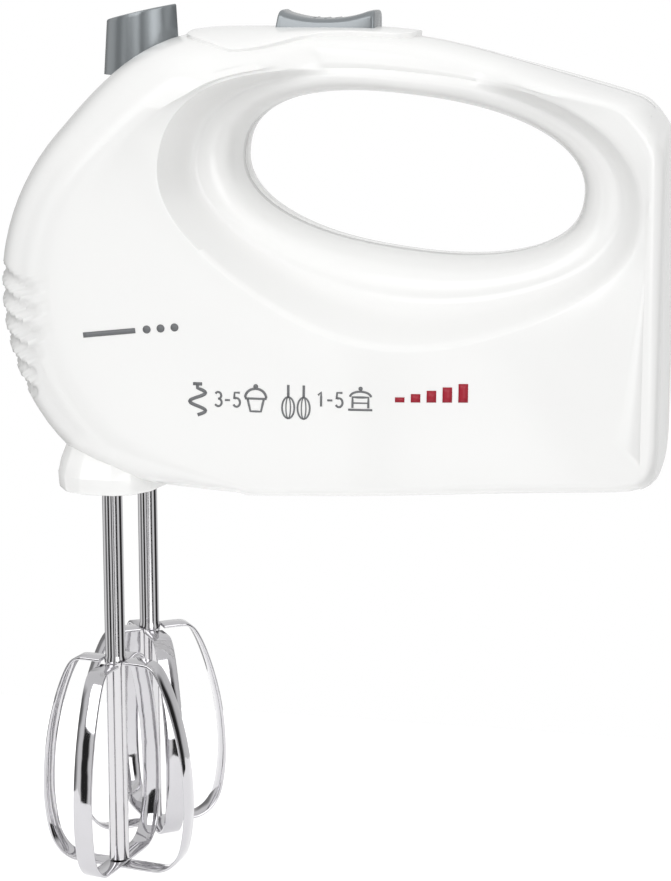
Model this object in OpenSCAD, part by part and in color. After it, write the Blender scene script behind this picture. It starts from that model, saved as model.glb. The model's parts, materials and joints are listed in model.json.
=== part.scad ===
// Hand mixer: a two-shell plastic body with an oval handle opening, a universal motor with a worm drive,
// two counter-rotating spindles, two removable strip beaters, an eject button and a sliding speed switch.
// Frame: +Z up, the heel face is the plane x = 0 facing +X, the nose points along -X, y = 0 splits the shells.

/* [Body] */
// Radius of the round nose, seen from the side
nose_r = 68; // [64:0.5:74]
// Distance from the heel face to the centre of the round nose
nose_back = 125; // [120:1:135]
// Height of the handle's top cover above the frame origin
crown_z = 72.4; // [71:0.2:76]
// Depth of the belly below the frame origin, under the motor
belly_z = 60.5; // [59:0.5:66]
// Wall thickness of the two shells
wall = 2.2; // [1.6:0.1:2.6]
// Half width of the body at the motor
belly_w = 37.5; // [36:0.5:44]
// Half width of the handle bar
handle_w = 16.5; // [14.5:0.5:20]
// Half width of the rear leg at the heel
heel_w = 25; // [22:0.5:29]
// Thickness of the heel plate
heel_t = 4; // [3:0.5:6]

/* [Handle opening] */
// Half length of the opening
hole_a = 49.5; // [42:0.5:52]
// Half height of the opening
hole_b = 22; // [18:0.5:22.5]
// Angle by which the rear end of the opening drops
hole_tilt = 7; // [0:1:9]

/* [Drive] */
// Distance between the two beater axes
beater_spacing = 36; // [34:0.5:38]
// Distance from the heel face to the beater axes
beater_back = 159; // [155:0.5:161]
// Teeth on each worm wheel
wheel_teeth = 24; // [24:4:28]
// Face width of a worm wheel
wheel_w = 9; // [6:0.5:10]
// Diameter of the motor shaft
shaft_d = 5; // [4:0.5:6]
// Side of the square stator stack
stator_side = 42; // [38:1:44]
// Length of the stator stack
stator_l = 26; // [20:1:32]
// Diameter of the armature
armature_d = 26; // [22:0.5:28]
// Diameter of the cooling fan
fan_d = 38; // [32:1:42]

/* [Beaters] */
// Diameter of a beater shaft
beater_d = 6; // [5:0.5:7]
// Largest diameter of a beater cage
cage_d = 48; // [38:1:50]
// Height of a beater cage
cage_h = 65; // [52:1:78]
// Width of the steel strip
strip_w = 6; // [4:0.5:6.5]
// Thickness of the steel strip
strip_t = 0.9; // [0.7:0.1:1.2]
// How far the beaters stand out of the sockets
beater_reach = 118; // [98:1:140]

/* [Controls] */
// Travel of the eject button
eject_travel = 8; // [6:0.5:9]
// Length of the eject button
button_l = 22; // [18:0.5:24]
// Width of the eject button
button_w = 11; // [8:0.5:13]
// Travel of the speed slider from off to the highest speed
slider_travel = 18; // [14:0.5:20]
// Length of the speed slider
slider_l = 29; // [20:0.5:30]
// Width of the speed slider
slider_w = 13; // [12:0.5:18]
// Diameter of the hole for the mains cord
cord_d = 6.8; // [5.6:0.1:8]

/* [Hidden] */
$fn = 48;

// Clearances, each named once
run_gap = 0.05;     // radial gap of a shaft that turns or slides in its bore
seat_gap = 0.02;    // gap between pieces that sit fixed on each other
split_gap = 0.3;    // gap between a moving piece and the shell beside it
air_gap = 0.5;      // radial air gap of the motor

// Colours
white = [0.94, 0.94, 0.93];
grey = [0.66, 0.67, 0.68];
chrome = [0.78, 0.79, 0.81];
steel = [0.55, 0.56, 0.58];
copper = [0.72, 0.42, 0.22];
brass = [0.78, 0.65, 0.32];
nylon = [0.93, 0.91, 0.83];
dark = [0.14, 0.14, 0.15];
green = [0.10, 0.36, 0.20];

// ---------- Small building blocks ----------

module rod_x(r, x0, x1, y = 0, z = 0) translate([x0, y, z]) rotate([0, 90, 0]) cylinder(r = r, h = x1 - x0);
module rod_y(r, y0, y1, x = 0, z = 0) translate([x, y0, z]) rotate([-90, 0, 0]) cylinder(r = r, h = y1 - y0);
module rod_z(r, z0, z1, x = 0, y = 0) translate([x, y, z0]) cylinder(r = r, h = z1 - z0);
module box(lo, hi) translate(lo) cube(hi - lo);

// A rectangle with round corners, centred, made of true arcs
module round_rect(size, r) {
    square([size.x - 2 * r, size.y], center = true);
    square([size.x, size.y - 2 * r], center = true);
    for (sx = [-1, 1], sy = [-1, 1])
        translate([sx * (size.x / 2 - r), sy * (size.y / 2 - r)]) circle(r);
}

// A pointed lens, tips on the X axis: two equal arcs of the given chord and width
module lens(len, wid) {
    r = (len * len / 4 + wid * wid / 4) / wid;
    intersection() {
        translate([0, wid / 2 - r]) circle(r, $fn = 96);
        translate([0, r - wid / 2]) circle(r, $fn = 96);
    }
}

// ---------- Shape of the body: rays from the centre of the opening ----------

hole_c = [-73, 31.8];               // centre of the opening, x and z
nose_c = [-nose_back, -3];          // centre of the round nose, x and z
brow = 6.5;                         // growth of the nose's radius from its front to its top
nose_top = nose_c.y + nose_r + brow; // height of the shells at the front of the handle
rise = 0.278;                       // fall of the top line per millimetre behind the crown
top_line_z = 51.8;                  // height of the falling top line at the heel
corner_tilt = 36;                   // slope of the cut corner between the top line and the heel
corner_reach = 25.4;                // distance of the cut corner from the frame origin
heel_drop = 56;                     // depth of the bottom line at the heel
ring_exp = 2.3;                     // exponent of the opening's superellipse
blend_exp = 18;                     // sharpness of the corners between the outline's stretches
shoulder_exp = 2.5;                 // exponent of the rounding from the side to the outline

function clamp01(t) = max(0, min(1, t));
function ease(t) = let (c = clamp01(t)) c * c * (3 - 2 * c);
function mix(a, b, t) = a + (b - a) * t;

// Distance from the opening's centre to the edge of the opening
function hole_edge(th) = let (t = th + hole_tilt)
    pow(pow(abs(cos(t)) / hole_a, ring_exp) + pow(abs(sin(t)) / hole_b, ring_exp), -1 / ring_exp);

// Distance along a ray to the straight line a*x + b*z = c, or far away when the ray leaves it
function to_line(th, a, b, c) = let (d = a * cos(th) + b * sin(th))
    d > 0.02 ? (c - a * hole_c.x - b * hole_c.y) / d : 1e4;

// Distance along a ray to a circle about the nose's centre, from inside it
function to_circle(th, r) = let (o = hole_c - nose_c, b = o.x * cos(th) + o.y * sin(th))
    -b + sqrt(max(0, b * b - (o * o - r * r)));
// Radius of the nose at a place: it grows where the nose runs into the handle
function nose_radius(p) = let (up = atan2(p.y - nose_c.y, nose_c.x - p.x)) nose_r + brow * ease((up - 42) / 40);
// Distance to the nose: the circle that is met first gives the place, and the place gives the radius
function to_nose(th) = let (t = to_circle(th, nose_r + brow / 2))
    to_circle(th, nose_radius(hole_c + t * [cos(th), sin(th)]));

// Distance to the outline: a soft minimum of the crown, top line, heel, bottom line and nose
function total(v) = v * [for (i = v) 1];
function soft_min(v) = pow(total([for (t = v) pow(t / 100, -blend_exp)]), -1 / blend_exp) * 100;
// The nose's circle in front of its centre, and the level line from its top behind it
function front_reach(th) = let (t = to_nose(th))
    hole_c.x + t * cos(th) < nose_c.x ? t : to_line(th, 0, 1, nose_top);
function outline(th) = soft_min([
    front_reach(th),
    to_line(th, rise, 1, top_line_z),
    to_line(th, 1, 0, 2.5),
    to_line(th, cos(corner_tilt), sin(corner_tilt), corner_reach),
    to_line(th, (belly_z - heel_drop) / nose_back, -1, heel_drop)
]);

// How much a ray belongs to the handle bar (1) or to the body around it (0)
function on_handle(th) = ease((sin(th) - 0.42) / 0.4);
// How much a ray points at the round nose
function at_nose(th) = ease((cos(th - 187) - 0.5) / 0.4);

function lip(th) = 7.8 - 3.2 * sin(th) + 2.2 * pow(cos(th), 2);
function dish(th) = (9.1 - 3.6 * sin(th) - 2 * pow(cos(th), 2)) * (1 - 0.55 * on_handle(th));
function shoulder(th) = 7 + 19 * at_nose(th);

// Half width of the body's flat side at a place on a ray
function side_w(th, x) = mix(mix(belly_w, heel_w, ease((x + 90) / 80)), handle_w, on_handle(th));

lip_rings = 4;
dish_rings = 4;
edge_rings = 6;
rays = 64;

// Profile of one half along a ray, from the opening's edge to the outline, as [distance, depth]
function profile(th) = let (
        r0 = hole_edge(th), r1 = r0 + lip(th), r4 = outline(th),
        r2 = min(r1 + dish(th), r4 - 4), r3 = max(r2 + 1.5, r4 - shoulder(th)),
        ridge = handle_w + 0.5, x2 = hole_c.x + r2 * cos(th), x3 = hole_c.x + r3 * cos(th),
        w2 = mix(side_w(th, x2), ridge, 0.12) , w3 = side_w(th, x3))
    concat(
        [for (i = [0:lip_rings - 1]) let (t = 90 * i / lip_rings) [r0 + (r1 - r0) * (1 - cos(t)), ridge * sin(t)]],
        [for (i = [0:dish_rings]) let (u = i / dish_rings) [mix(r1, r2, u), mix(ridge, w2, u * u * (2.4 - 1.4 * u))]],
        [for (i = [0:edge_rings]) let (t = 90 * i / edge_rings)
            [r3 + (r4 - r3) * pow(sin(t), 2 / shoulder_exp), w3 * pow(cos(t), 2 / shoulder_exp)]]
    );

// The same profile moved inwards by the wall, square to its own direction
function inner(p) = let (n = len(p) - 1) [for (i = [0:n])
    i == 0 ? [p[0].x + wall, 0] : i == n ? [p[n].x - wall, 0] :
    let (d = p[i + 1] - p[i - 1], l = norm(d)) p[i] + wall * [d.y, -d.x] / l];

function place(th, q, side) = [hole_c.x + q.x * cos(th), side * q.y, hole_c.y + q.x * sin(th)];

// One closed half shell: the outer skin, then the inner skin, joined by the two rims at y = 0
module half_shell(side) {
    n = lip_rings + dish_rings + edge_rings + 2;
    loop = 2 * n;
    points = [for (k = [0:rays - 1]) let (th = 360 * k / rays, p = profile(th), q = inner(p))
        each concat([for (a = p) place(th, a, side)], [for (i = [0:n - 1]) place(th, q[n - 1 - i], side)])];
    faces = [for (k = [0:rays - 1], i = [0:loop - 1]) let (
            a = k * loop + i, b = k * loop + (i + 1) % loop,
            c = ((k + 1) % rays) * loop + (i + 1) % loop, d = ((k + 1) % rays) * loop + i)
        each side > 0 ? [[a, b, c], [a, c, d]] : [[a, c, b], [a, d, c]]];
    polyhedron(points, faces);
}

// ---------- Places that several pieces share ----------

beater_x = -beater_back;
half_space = beater_spacing / 2;
motor_z = -34;

// Worm drive: the centre distance sets the module
worm_share = 0.3636;                                      // worm pitch diameter over wheel pitch diameter
wheel_r = half_space / (1 + worm_share);
worm_r = half_space - wheel_r;
gear_m = 2 * wheel_r / wheel_teeth;
pitch = PI * gear_m;
addendum = 0.9 * gear_m;
dedendum = 1.2 * gear_m;
worm_l = 16;
worm_x = beater_x - worm_l / 2;

// Spindles and sockets
socket_z = -60;                                             // lower face of the socket housing
spindle_r = beater_d / 2 + 2.5;
bush_r = spindle_r + 2;
plate_t = 2.5;
wheel_top = motor_z + wheel_w / 2;
gear_cover_z = wheel_top + 1;
spindle_top = gear_cover_z + plate_t + 2;
beater_top = spindle_top + eject_travel;
fork_z = beater_top + 0.6;

// Motor along X
shaft_r = shaft_d / 2;
stator_x = -110;
armature_r = armature_d / 2;
fan_x = stator_x - 17;
commutator_x = stator_x + stator_l + 12;
commutator_r = 9;
commutator_l = 12;
brush_x = commutator_x + commutator_l / 2;
rear_bearing_x = commutator_x + commutator_l + 5;
bearing_r = 8;
bearing_w = 5;
front_bearing_r = 4.6;
front_bearing_x = beater_x - wheel_r - addendum - split_gap - bearing_w;

// Handle cover and controls
cover_z = 64.5;
cover_top = crown_z;
cover_front = -142;
cover_rear = -65.5;
cover_t = 2.5;
slider_x = -98;
slot_l = slider_travel + 7;
stem_w = 6;
button_x = -153;
stem_x = button_x;
button_base_z = 50;
guide_z = 32;
guide_t = 3;
rod_w = 5;

// Rear leg
gland_x = -22;
gland_r = cord_d / 2 + 3.4;
gland_top = -44;
gland_bottom = -55.8;
screw_r = 1.5;
screw_head_r = 2.9;
boss_r = 3.8;
// Places of the housing screws, x and z
screw_at = [[-10.5, 30], [-10.5, -26], [-62, -50], [-134, -51], [-178, 10], [-136, 46]];

// ---------- Cuts shared by the two shells ----------

module cover_pocket() box([cover_front - split_gap, -50, cover_z], [cover_rear + split_gap, 50, crown_z + 20]);
module heel_pocket() box([-heel_t, -50, -90], [20, 50, 90]);
module socket_outline(grow = 0) {
    for (s = [-1, 1]) translate([beater_x, s * half_space]) circle(bush_r + 9 + grow);
    translate([beater_x, 0]) square([2 * (bush_r + 9 + grow), beater_spacing], center = true);
}
module button_hole() translate([button_x, 0, guide_z + 12])
    linear_extrude(60) lens(button_l + 2 * split_gap + 1, button_w + 2 * split_gap);
vent_count = 6;
vent_pitch = 6.2;
vent_h = 1.3;
vent_top_z = 5;
vent_l = 18;
module vents() for (i = [0:vent_count - 1])
    translate([-199, -46, vent_top_z - i * vent_pitch]) rotate([0, 12, 0]) cube([vent_l, 38, vent_h]);

module shell_cuts() {
    cover_pocket();
    heel_pocket();
    translate([0, 0, socket_z - 20]) linear_extrude(33) socket_outline(split_gap);
    button_hole();
    rod_z(gland_r + seat_gap, gland_bottom - 10, gland_top - 8, gland_x);
}

// Length of a screw boss at a place: from the split to half way into the wall
function boss_len(p) = let (th = atan2(p.y - hole_c.y, p.x - hole_c.x), d = norm(p - hole_c), q = profile(th))
    lookup(d, [for (a = q) [a.x, a.y]]) - wall / 2;

// ---------- Shells ----------

module left_housing() color(white) difference() {
    union() {
        difference() { half_shell(-1); shell_cuts(); vents(); }
        for (p = screw_at) rod_y(boss_r, -boss_len(p), 0, p.x, p.y);
    }
    for (p = screw_at) rod_y(screw_r + seat_gap, -10, 1, p.x, p.y);
}

module right_housing() color(white) difference() {
    union() {
        difference() { half_shell(1); shell_cuts(); mirror([0, 1, 0]) vents(); }
        for (p = screw_at) rod_y(boss_r, 0, boss_len(p), p.x, p.y);
    }
    for (p = screw_at) {
        rod_y(screw_r + 0.2, -1, 60, p.x, p.y);
        rod_y(screw_head_r + 0.3, 5, 60, p.x, p.y);
    }
}

// Plate that closes the rear leg and is the face that the mixer stands on
heel_plate_h = 97;
heel_plate_z = -3.5;
module heel_cover() color(white) translate([-heel_t + seat_gap, 0, heel_plate_z]) rotate([0, 90, 0])
    linear_extrude(heel_t - seat_gap) round_rect([heel_plate_h, 2 * heel_w - 2], 9);

// Cap on top of the handle that carries the speed slider
module cover_block(inset, z0) intersection() {
    translate([0, 40, 0]) rotate([90, 0, 0]) linear_extrude(80) polygon([
        [cover_front + inset, z0], [cover_front + inset, cover_z + 2 - inset], [-131, cover_top - inset],
        [-76, cover_top - inset], [cover_rear - inset, cover_top - 2.2 - inset], [cover_rear - inset, z0]
    ]);
    translate([cover_front, 0, cover_top - 20 - inset]) rotate([90, 0, 90])
        linear_extrude(cover_rear - cover_front) round_rect([2 * (handle_w - inset), 40], 6);
}

module handle_cover() color(white) difference() {
    intersection() {
        cover_block(0, cover_z + seat_gap);
        box([cover_front, -40, cover_z + seat_gap], [cover_rear, 40, 90]);
    }
    cover_block(cover_t, cover_z - 5);
    box([slider_x - slider_travel - slot_l / 2 + 9, -2.3, cover_z], [slider_x + 3.5, 2.3, 90]);
}

module socket_housing() color(white) difference() {
    translate([0, 0, socket_z]) linear_extrude(12.5) socket_outline();
    for (s = [-1, 1]) {
        rod_z(bush_r, socket_z + 1.5, socket_z + 20, beater_x, s * half_space);
        rod_z(spindle_r + 1, socket_z - 1, socket_z + 20, beater_x, s * half_space);
    }
}

module housing_screws() color(steel) for (p = screw_at) {
    rod_y(screw_r, -9, 5.02, p.x, p.y);
    rod_y(screw_head_r, 5.02, 7.4, p.x, p.y);
}

// ---------- Gearbox ----------

module gear_outline(grow = 0) {
    for (s = [-1, 1]) translate([beater_x, s * half_space]) circle(bush_r + 4 + grow);
    translate([beater_x + 2, 0]) square([26 + 2 * grow, beater_spacing], center = true);
}

gear_base_z = motor_z - wheel_w / 2 - 1 - plate_t;
post_at = [[beater_x + 15.5, 1], [beater_x + 15.5, -1]];
post_y = half_space + 9;

module worm_room() rod_x(worm_r + addendum + 0.5, worm_x - 1, worm_x + worm_l + 1, 0, motor_z);
module gearbox_base() color(grey) difference() {
    union() {
        translate([0, 0, gear_base_z]) linear_extrude(plate_t) union() {
            gear_outline();
            for (p = post_at) translate([p.x, p.y * post_y]) circle(4);
            translate([beater_x + 10, 0]) square([9, 2 * post_y], center = true);
        }
        for (p = post_at) rod_z(3, gear_base_z + plate_t, gear_cover_z, p.x, p.y * post_y);
    }
    for (s = [-1, 1]) rod_z(spindle_r + 0.3, gear_base_z - 1, gear_base_z + 9, beater_x, s * half_space);
    worm_room();
    for (p = post_at) rod_z(1.25, gear_cover_z - 8, gear_cover_z + 1, p.x, p.y * post_y);
}

module gearbox_cover() color(grey) difference() {
    translate([0, 0, gear_cover_z]) linear_extrude(plate_t) union() {
        gear_outline();
        for (p = post_at) translate([p.x, p.y * post_y]) circle(4);
        translate([beater_x + 10, 0]) square([9, 2 * post_y], center = true);
    }
    for (s = [-1, 1]) rod_z(bush_r, gear_cover_z - 1, gear_cover_z + 9, beater_x, s * half_space);
    worm_room();
    for (p = post_at) rod_z(1.4, gear_cover_z - 1, gear_cover_z + 9, p.x, p.y * post_y);
}

module gearbox_screws() color(steel) for (p = post_at) {
    rod_z(1.25 - seat_gap, gear_cover_z - 7, gear_cover_z + plate_t, p.x, p.y * post_y);
    rod_z(2.4, gear_cover_z + plate_t, gear_cover_z + plate_t + 1.8, p.x, p.y * post_y);
}

module bush(z0, z1, y) difference() {
    rod_z(bush_r, z0, z1, beater_x, y);
    rod_z(spindle_r + run_gap, z0 - 1, z1 + 1, beater_x, y);
}
module spindle_bushes() color(brass) for (s = [-1, 1]) {
    bush(socket_z + 1.5, socket_z + 11.5, s * half_space);
    bush(gear_cover_z, gear_cover_z + plate_t, s * half_space);
}

// ---------- Motor, fixed pieces ----------

pocket_w = 4.5;
module stator_core() color(steel) difference() {
    translate([stator_x, 0, motor_z]) rotate([90, 0, 90]) linear_extrude(stator_l)
        round_rect([stator_side, stator_side], 5);
    rod_x(armature_r + air_gap, stator_x - 1, stator_x + stator_l + 1, 0, motor_z);
    for (s = [-1, 1]) box(
        [stator_x - 1, s * (armature_r + pocket_w / 2) - pocket_w / 2 - 0.5, motor_z - 11],
        [stator_x + stator_l + 1, s * (armature_r + pocket_w / 2) + pocket_w / 2 + 0.5, motor_z + 11]);
}

// Each coil runs through the side pockets and crosses over the armature at both ends
module field_coil(up) {
    y1 = armature_r + pocket_w;
    y0 = armature_r + 0.7;
    x0 = stator_x - 4;
    x1 = stator_x + stator_l + 4;
    for (s = [-1, 1]) {
        lo = s > 0 ? y0 : -y1;
        box([x0, lo, motor_z + (up > 0 ? 1 : -9)], [x1, lo + y1 - y0, motor_z + (up > 0 ? 9 : -1)]);
    }
    for (x = [x0, x1 - 3.5]) difference() {
        box([x, -y1, motor_z + (up > 0 ? 1 : -y1)], [x + 3.5, y1, motor_z + (up > 0 ? y1 : -1)]);
        rod_x(y0, x - 1, x + 5, 0, motor_z);
    }
}
module field_coils() color(copper) for (up = [-1, 1]) field_coil(up);

// Plates that carry the ball bearings of the motor shaft
module bearing_plate(x, r, w, h) difference() {
    translate([x, 0, motor_z]) rotate([90, 0, 90]) linear_extrude(bearing_w) round_rect([w, h], r / 2);
    rod_x(r, x - 1, x + bearing_w + 1, 0, motor_z);
}
module front_bracket() color(grey)
    bearing_plate(front_bearing_x, front_bearing_r, 22, 2 * (gear_cover_z - motor_z));
module rear_bracket() color(grey) bearing_plate(rear_bearing_x, bearing_r, 34, 34);
module ring_bearing(x, r) difference() {
    rod_x(r, x, x + bearing_w, 0, motor_z);
    rod_x(shaft_r + run_gap, x - 1, x + bearing_w + 1, 0, motor_z);
}
module front_bearing() color(chrome) ring_bearing(front_bearing_x, front_bearing_r);
module rear_bearing() color(chrome) ring_bearing(rear_bearing_x, bearing_r);

brush_s = 6;
module brush_holders() color(brass) for (s = [-1, 1]) difference() {
    box([brush_x - 4.5, s > 0 ? 10 : -24, motor_z - 4.5], [brush_x + 4.5, s > 0 ? 24 : -10, motor_z + 4.5]);
    box([brush_x - brush_s / 2 - run_gap, s > 0 ? 9 : -23, motor_z - brush_s / 2 - run_gap],
        [brush_x + brush_s / 2 + run_gap, s > 0 ? 23 : -9, motor_z + brush_s / 2 + run_gap]);
}
module carbon_brushes() color(dark) for (s = [-1, 1]) difference() {
    box([brush_x - brush_s / 2, s > 0 ? 8 : -16, motor_z - brush_s / 2],
        [brush_x + brush_s / 2, s > 0 ? 16 : -8, motor_z + brush_s / 2]);
    rod_x(commutator_r + run_gap, commutator_x, commutator_x + commutator_l, 0, motor_z);
}

// A coil spring along +Z: a round wire swept along its own helix, with closed ends
module coil(r, wire_r, h, turns) {
    sides = 8;
    steps = 14;
    n = turns * steps;
    points = [for (i = [0:n], j = [0:sides - 1]) let (a = 360 * i / steps, b = 360 * j / sides, q = r + wire_r * cos(b))
        [q * cos(a), q * sin(a), wire_r + (h - 2 * wire_r) * i / n + wire_r * sin(b)]];
    faces = concat(
        [[for (j = [0:sides - 1]) j]],
        [for (i = [0:n - 1], j = [0:sides - 1]) let (k = (j + 1) % sides, a = i * sides, b = a + sides)
            each [[a + j, b + j, b + k], [a + j, b + k, a + k]]],
        [[for (j = [0:sides - 1]) n * sides + sides - 1 - j]]
    );
    polyhedron(points, faces);
}
module brush_springs() color(chrome) for (s = [-1, 1])
    translate([brush_x, s * 16.1, motor_z]) rotate([-s * 90, 0, 0]) coil(2.1, 0.3, 6.8, 5);

// ---------- Motor, turning pieces ----------

module motor_shaft() color(chrome) rod_x(shaft_r, worm_x + worm_l, rear_bearing_x + bearing_w + 1, 0, motor_z);

// Cross section of a single-start worm, turned as it is extruded to make the thread
module worm_section() {
    crest = worm_r + addendum;
    root = worm_r - dedendum;
    tip_half = 46;
    root_half = 126;
    polygon(concat(
        [for (a = [-tip_half, -15, 15, tip_half]) crest * [cos(a), sin(a)]],
        [for (a = [root_half, 150, 180, 210, 360 - root_half]) root * [cos(a), sin(a)]]
    ));
}
module worm() color(steel) {
    turns = worm_l / pitch;
    // The crest of the thread faces -Y, towards the left wheel, half way along the worm
    translate([worm_x, 0, motor_z]) rotate([90, 0, 90]) rotate([0, 0, 180 - 180 * turns])
        linear_extrude(worm_l, twist = -360 * turns, slices = round(turns * 14), segments = 9) worm_section();
    rod_x(shaft_r, front_bearing_x - 1, worm_x, 0, motor_z);
}

winding_r = armature_r - 2;
module armature_core() color(steel) difference() {
    rod_x(armature_r, stator_x, stator_x + stator_l, 0, motor_z);
    rod_x(shaft_r, stator_x - 1, stator_x + stator_l + 1, 0, motor_z);
    for (i = [0:11]) translate([0, 0, motor_z]) rotate([30 * i, 0, 0])
        box([stator_x - 1, -0.8, winding_r - 4], [stator_x + stator_l + 1, 0.8, armature_r + 1]);
}
module winding_end(x0, x1) difference() {
    rod_x(winding_r - 1, x0, x1, 0, motor_z);
    rod_x(shaft_r, x0 - 1, x1 + 1, 0, motor_z);
}
module armature_winding() color(copper) {
    winding_end(stator_x - 9, stator_x);
    winding_end(stator_x + stator_l, stator_x + stator_l + 9);
}
module commutator() color(copper) difference() {
    rod_x(commutator_r, commutator_x, commutator_x + commutator_l, 0, motor_z);
    rod_x(shaft_r, commutator_x - 1, commutator_x + commutator_l + 1, 0, motor_z);
    for (i = [0:11]) translate([0, 0, motor_z]) rotate([30 * i + 15, 0, 0])
        box([commutator_x - 1, -0.25, commutator_r - 1.5], [commutator_x + commutator_l + 1, 0.25, commutator_r + 1]);
}
module cooling_fan() color(dark) difference() {
    union() {
        rod_x(6, fan_x, fan_x + 7, 0, motor_z);
        rod_x(fan_d / 2, fan_x, fan_x + 1.5, 0, motor_z);
        for (i = [0:8]) translate([0, 0, motor_z]) rotate([40 * i, 0, 0])
            box([fan_x, -0.7, 5], [fan_x + 7, 0.7, fan_d / 2 - 0.5]);
    }
    rod_x(shaft_r, fan_x - 1, fan_x + 8, 0, motor_z);
}

// ---------- Spindles ----------

// A worm wheel: trapezoid teeth, each level turned a little to follow the lead of the worm
module worm_wheel(side) {
    tooth = 360 / wheel_teeth;
    lead_turn = atan(pitch / (2 * PI * worm_r)) * wheel_w / wheel_r;
    tip_r = wheel_r + addendum - 0.1;
    root_r = wheel_r - dedendum;
    phase = side < 0 ? tooth / 2 : 0;
    flank = [[-0.34, root_r], [-0.13, tip_r], [0.13, tip_r], [0.34, root_r]];
    color(nylon) translate([beater_x, side * half_space, motor_z - wheel_w / 2]) rotate(phase - lead_turn / 2)
        linear_extrude(wheel_w, twist = -lead_turn, slices = 2, segments = 4 * wheel_teeth) difference() {
            polygon([for (k = [0:wheel_teeth - 1], f = flank) f[1] * [cos(tooth * (k + f[0])), sin(tooth * (k + f[0]))]]);
            circle((spindle_r + seat_gap) / cos(180 / $fn));
        }
}
module left_worm_wheel() worm_wheel(-1);
module right_worm_wheel() worm_wheel(1);

// Hollow spindle with two keyways for the lugs of the beater, and a groove for its clip
key_w = 2.2;
key_r = beater_d / 2 + 1.3;
phase_of = [-10, 35];               // turn of the left and the right cage, 45 degrees apart
module spindle(side) color(steel) translate([beater_x, side * half_space, 0]) difference() {
    rod_z(spindle_r, socket_z + 1.5, spindle_top);
    rod_z(beater_d / 2 + run_gap, socket_z, spindle_top + 1);
    rotate(side < 0 ? phase_of[0] : phase_of[1])
        box([-key_r, -key_w / 2, socket_z], [key_r, key_w / 2, motor_z - 2]);
    difference() {
        rod_z(spindle_r + 1, spindle_top - 1.6, spindle_top - 0.6);
        rod_z(spindle_r - 0.8, spindle_top - 2, spindle_top);
    }
}
module left_spindle() spindle(-1);
module right_spindle() spindle(1);
module spindle_clip(side) color(chrome) translate([beater_x, side * half_space, 0]) difference() {
    rod_z(spindle_r + 1.4, spindle_top - 1.5, spindle_top - 0.7);
    rod_z(spindle_r - 0.8, spindle_top - 3, spindle_top + 1);
    translate([0, -1.2, spindle_top - 3]) cube([20, 2.4, 6]);
}
module left_spindle_clip() spindle_clip(-1);
module right_spindle_clip() spindle_clip(1);

// ---------- Beaters ----------

cage_z = socket_z - beater_reach;
cage_r = cage_d / 2;
crossing_t = 2 * (strip_t + seat_gap);      // height of the two strips where they cross under the shaft
rivet_r = 1.4;
rivet_l = 5;
lug_z = motor_z - 14;

// The shaft runs down through the cage to the crossing of the strips, and carries two drive lugs
module beater_shaft(side) color(chrome) translate([beater_x, side * half_space, 0]) {
    difference() {
        rod_z(beater_d / 2, cage_z + crossing_t, beater_top);
        rod_z(rivet_r + seat_gap, cage_z, cage_z + crossing_t + rivet_l);
    }
    rotate(side < 0 ? phase_of[0] : phase_of[1])
        box([-key_r + 0.1, -key_w / 2 + 0.1, lug_z - 6], [key_r - 0.1, key_w / 2 - 0.1, lug_z]);
}

// Half outline of a cage from the foot to the tent at the shaft, as shares of its radius and height
cage_half = [
    [0.50, 0], [0.66, 0.008], [0.80, 0.04], [0.91, 0.10], [0.97, 0.19], [1, 0.31], [0.985, 0.46],
    [0.93, 0.61], [0.84, 0.75], [0.73, 0.87], [0.62, 0.955], [0.52, 0.992], [0.40, 1], [0.17, 1]
];
fine_steps = 4;
// A smooth curve through the points, four short chords between each two
function knot(v, i) = v[max(0, min(len(v) - 1, i))];
function smooth(v) = concat([for (i = [0:len(v) - 2], k = [0:fine_steps - 1]) let (
        t = k / fine_steps, a = knot(v, i - 1), b = v[i], c = v[i + 1], d = knot(v, i + 2))
    0.5 * (2 * b + (c - a) * t + (2 * a - 5 * b + 4 * c - d) * t * t + (3 * b - a - 3 * c + d) * t * t * t)],
    [v[len(v) - 1]]);
// The half outline in millimetres, moved inwards by an inset square to itself
function cage_line(inset) = let (
        v = [for (p = concat([[0, 0]], smooth(cage_half), [[0, 1]])) [p.x * cage_r, cage_z + p.y * cage_h]],
        n = len(v) - 1)
    [for (i = [0:n]) i < 2 ? v[i] + [0, inset] : i > n - 2 ? v[i] - [0, inset] :
        let (d = v[i + 1] - v[i - 1]) v[i] + inset * [-d.y, d.x] / norm(d)];
module cage_area(inset) {
    h = cage_line(inset);
    n = len(h);
    polygon(concat(h, [for (i = [1:n - 2]) [-h[n - 1 - i].x, h[n - 1 - i].y]]));
}
// One strip, welded to the shaft at both ends; the second one of a cage lies on the first where they cross
module beater_loop(side, second) {
    inset = second * (strip_t + seat_gap);
    turn = (side < 0 ? phase_of[0] : phase_of[1]) + 90 * second;
    color(chrome) translate([beater_x, side * half_space, 0]) rotate(turn) difference() {
        translate([0, strip_w / 2, 0]) rotate([90, 0, 0]) linear_extrude(strip_w)
            difference() { cage_area(inset); cage_area(inset + strip_t); }
        rod_z(beater_d / 2 + seat_gap, cage_z + crossing_t, cage_z + cage_h + 5);
        rod_z(rivet_r + seat_gap, cage_z - 5, cage_z + cage_h / 2);
    }
}
module beater_rivet(side) color(steel) translate([beater_x, side * half_space, cage_z]) {
    rod_z(rivet_r, 0, crossing_t + rivet_l);
    rod_z(rivet_r + 1, -0.8, 0);
}
module left_beater_shaft() beater_shaft(-1);
module right_beater_shaft() beater_shaft(1);
module left_beater_loop_a() beater_loop(-1, 0);
module left_beater_loop_b() beater_loop(-1, 1);
module right_beater_loop_a() beater_loop(1, 0);
module right_beater_loop_b() beater_loop(1, 1);
module left_beater_rivet() beater_rivet(-1);
module right_beater_rivet() beater_rivet(1);

// ---------- Eject mechanism ----------

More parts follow.
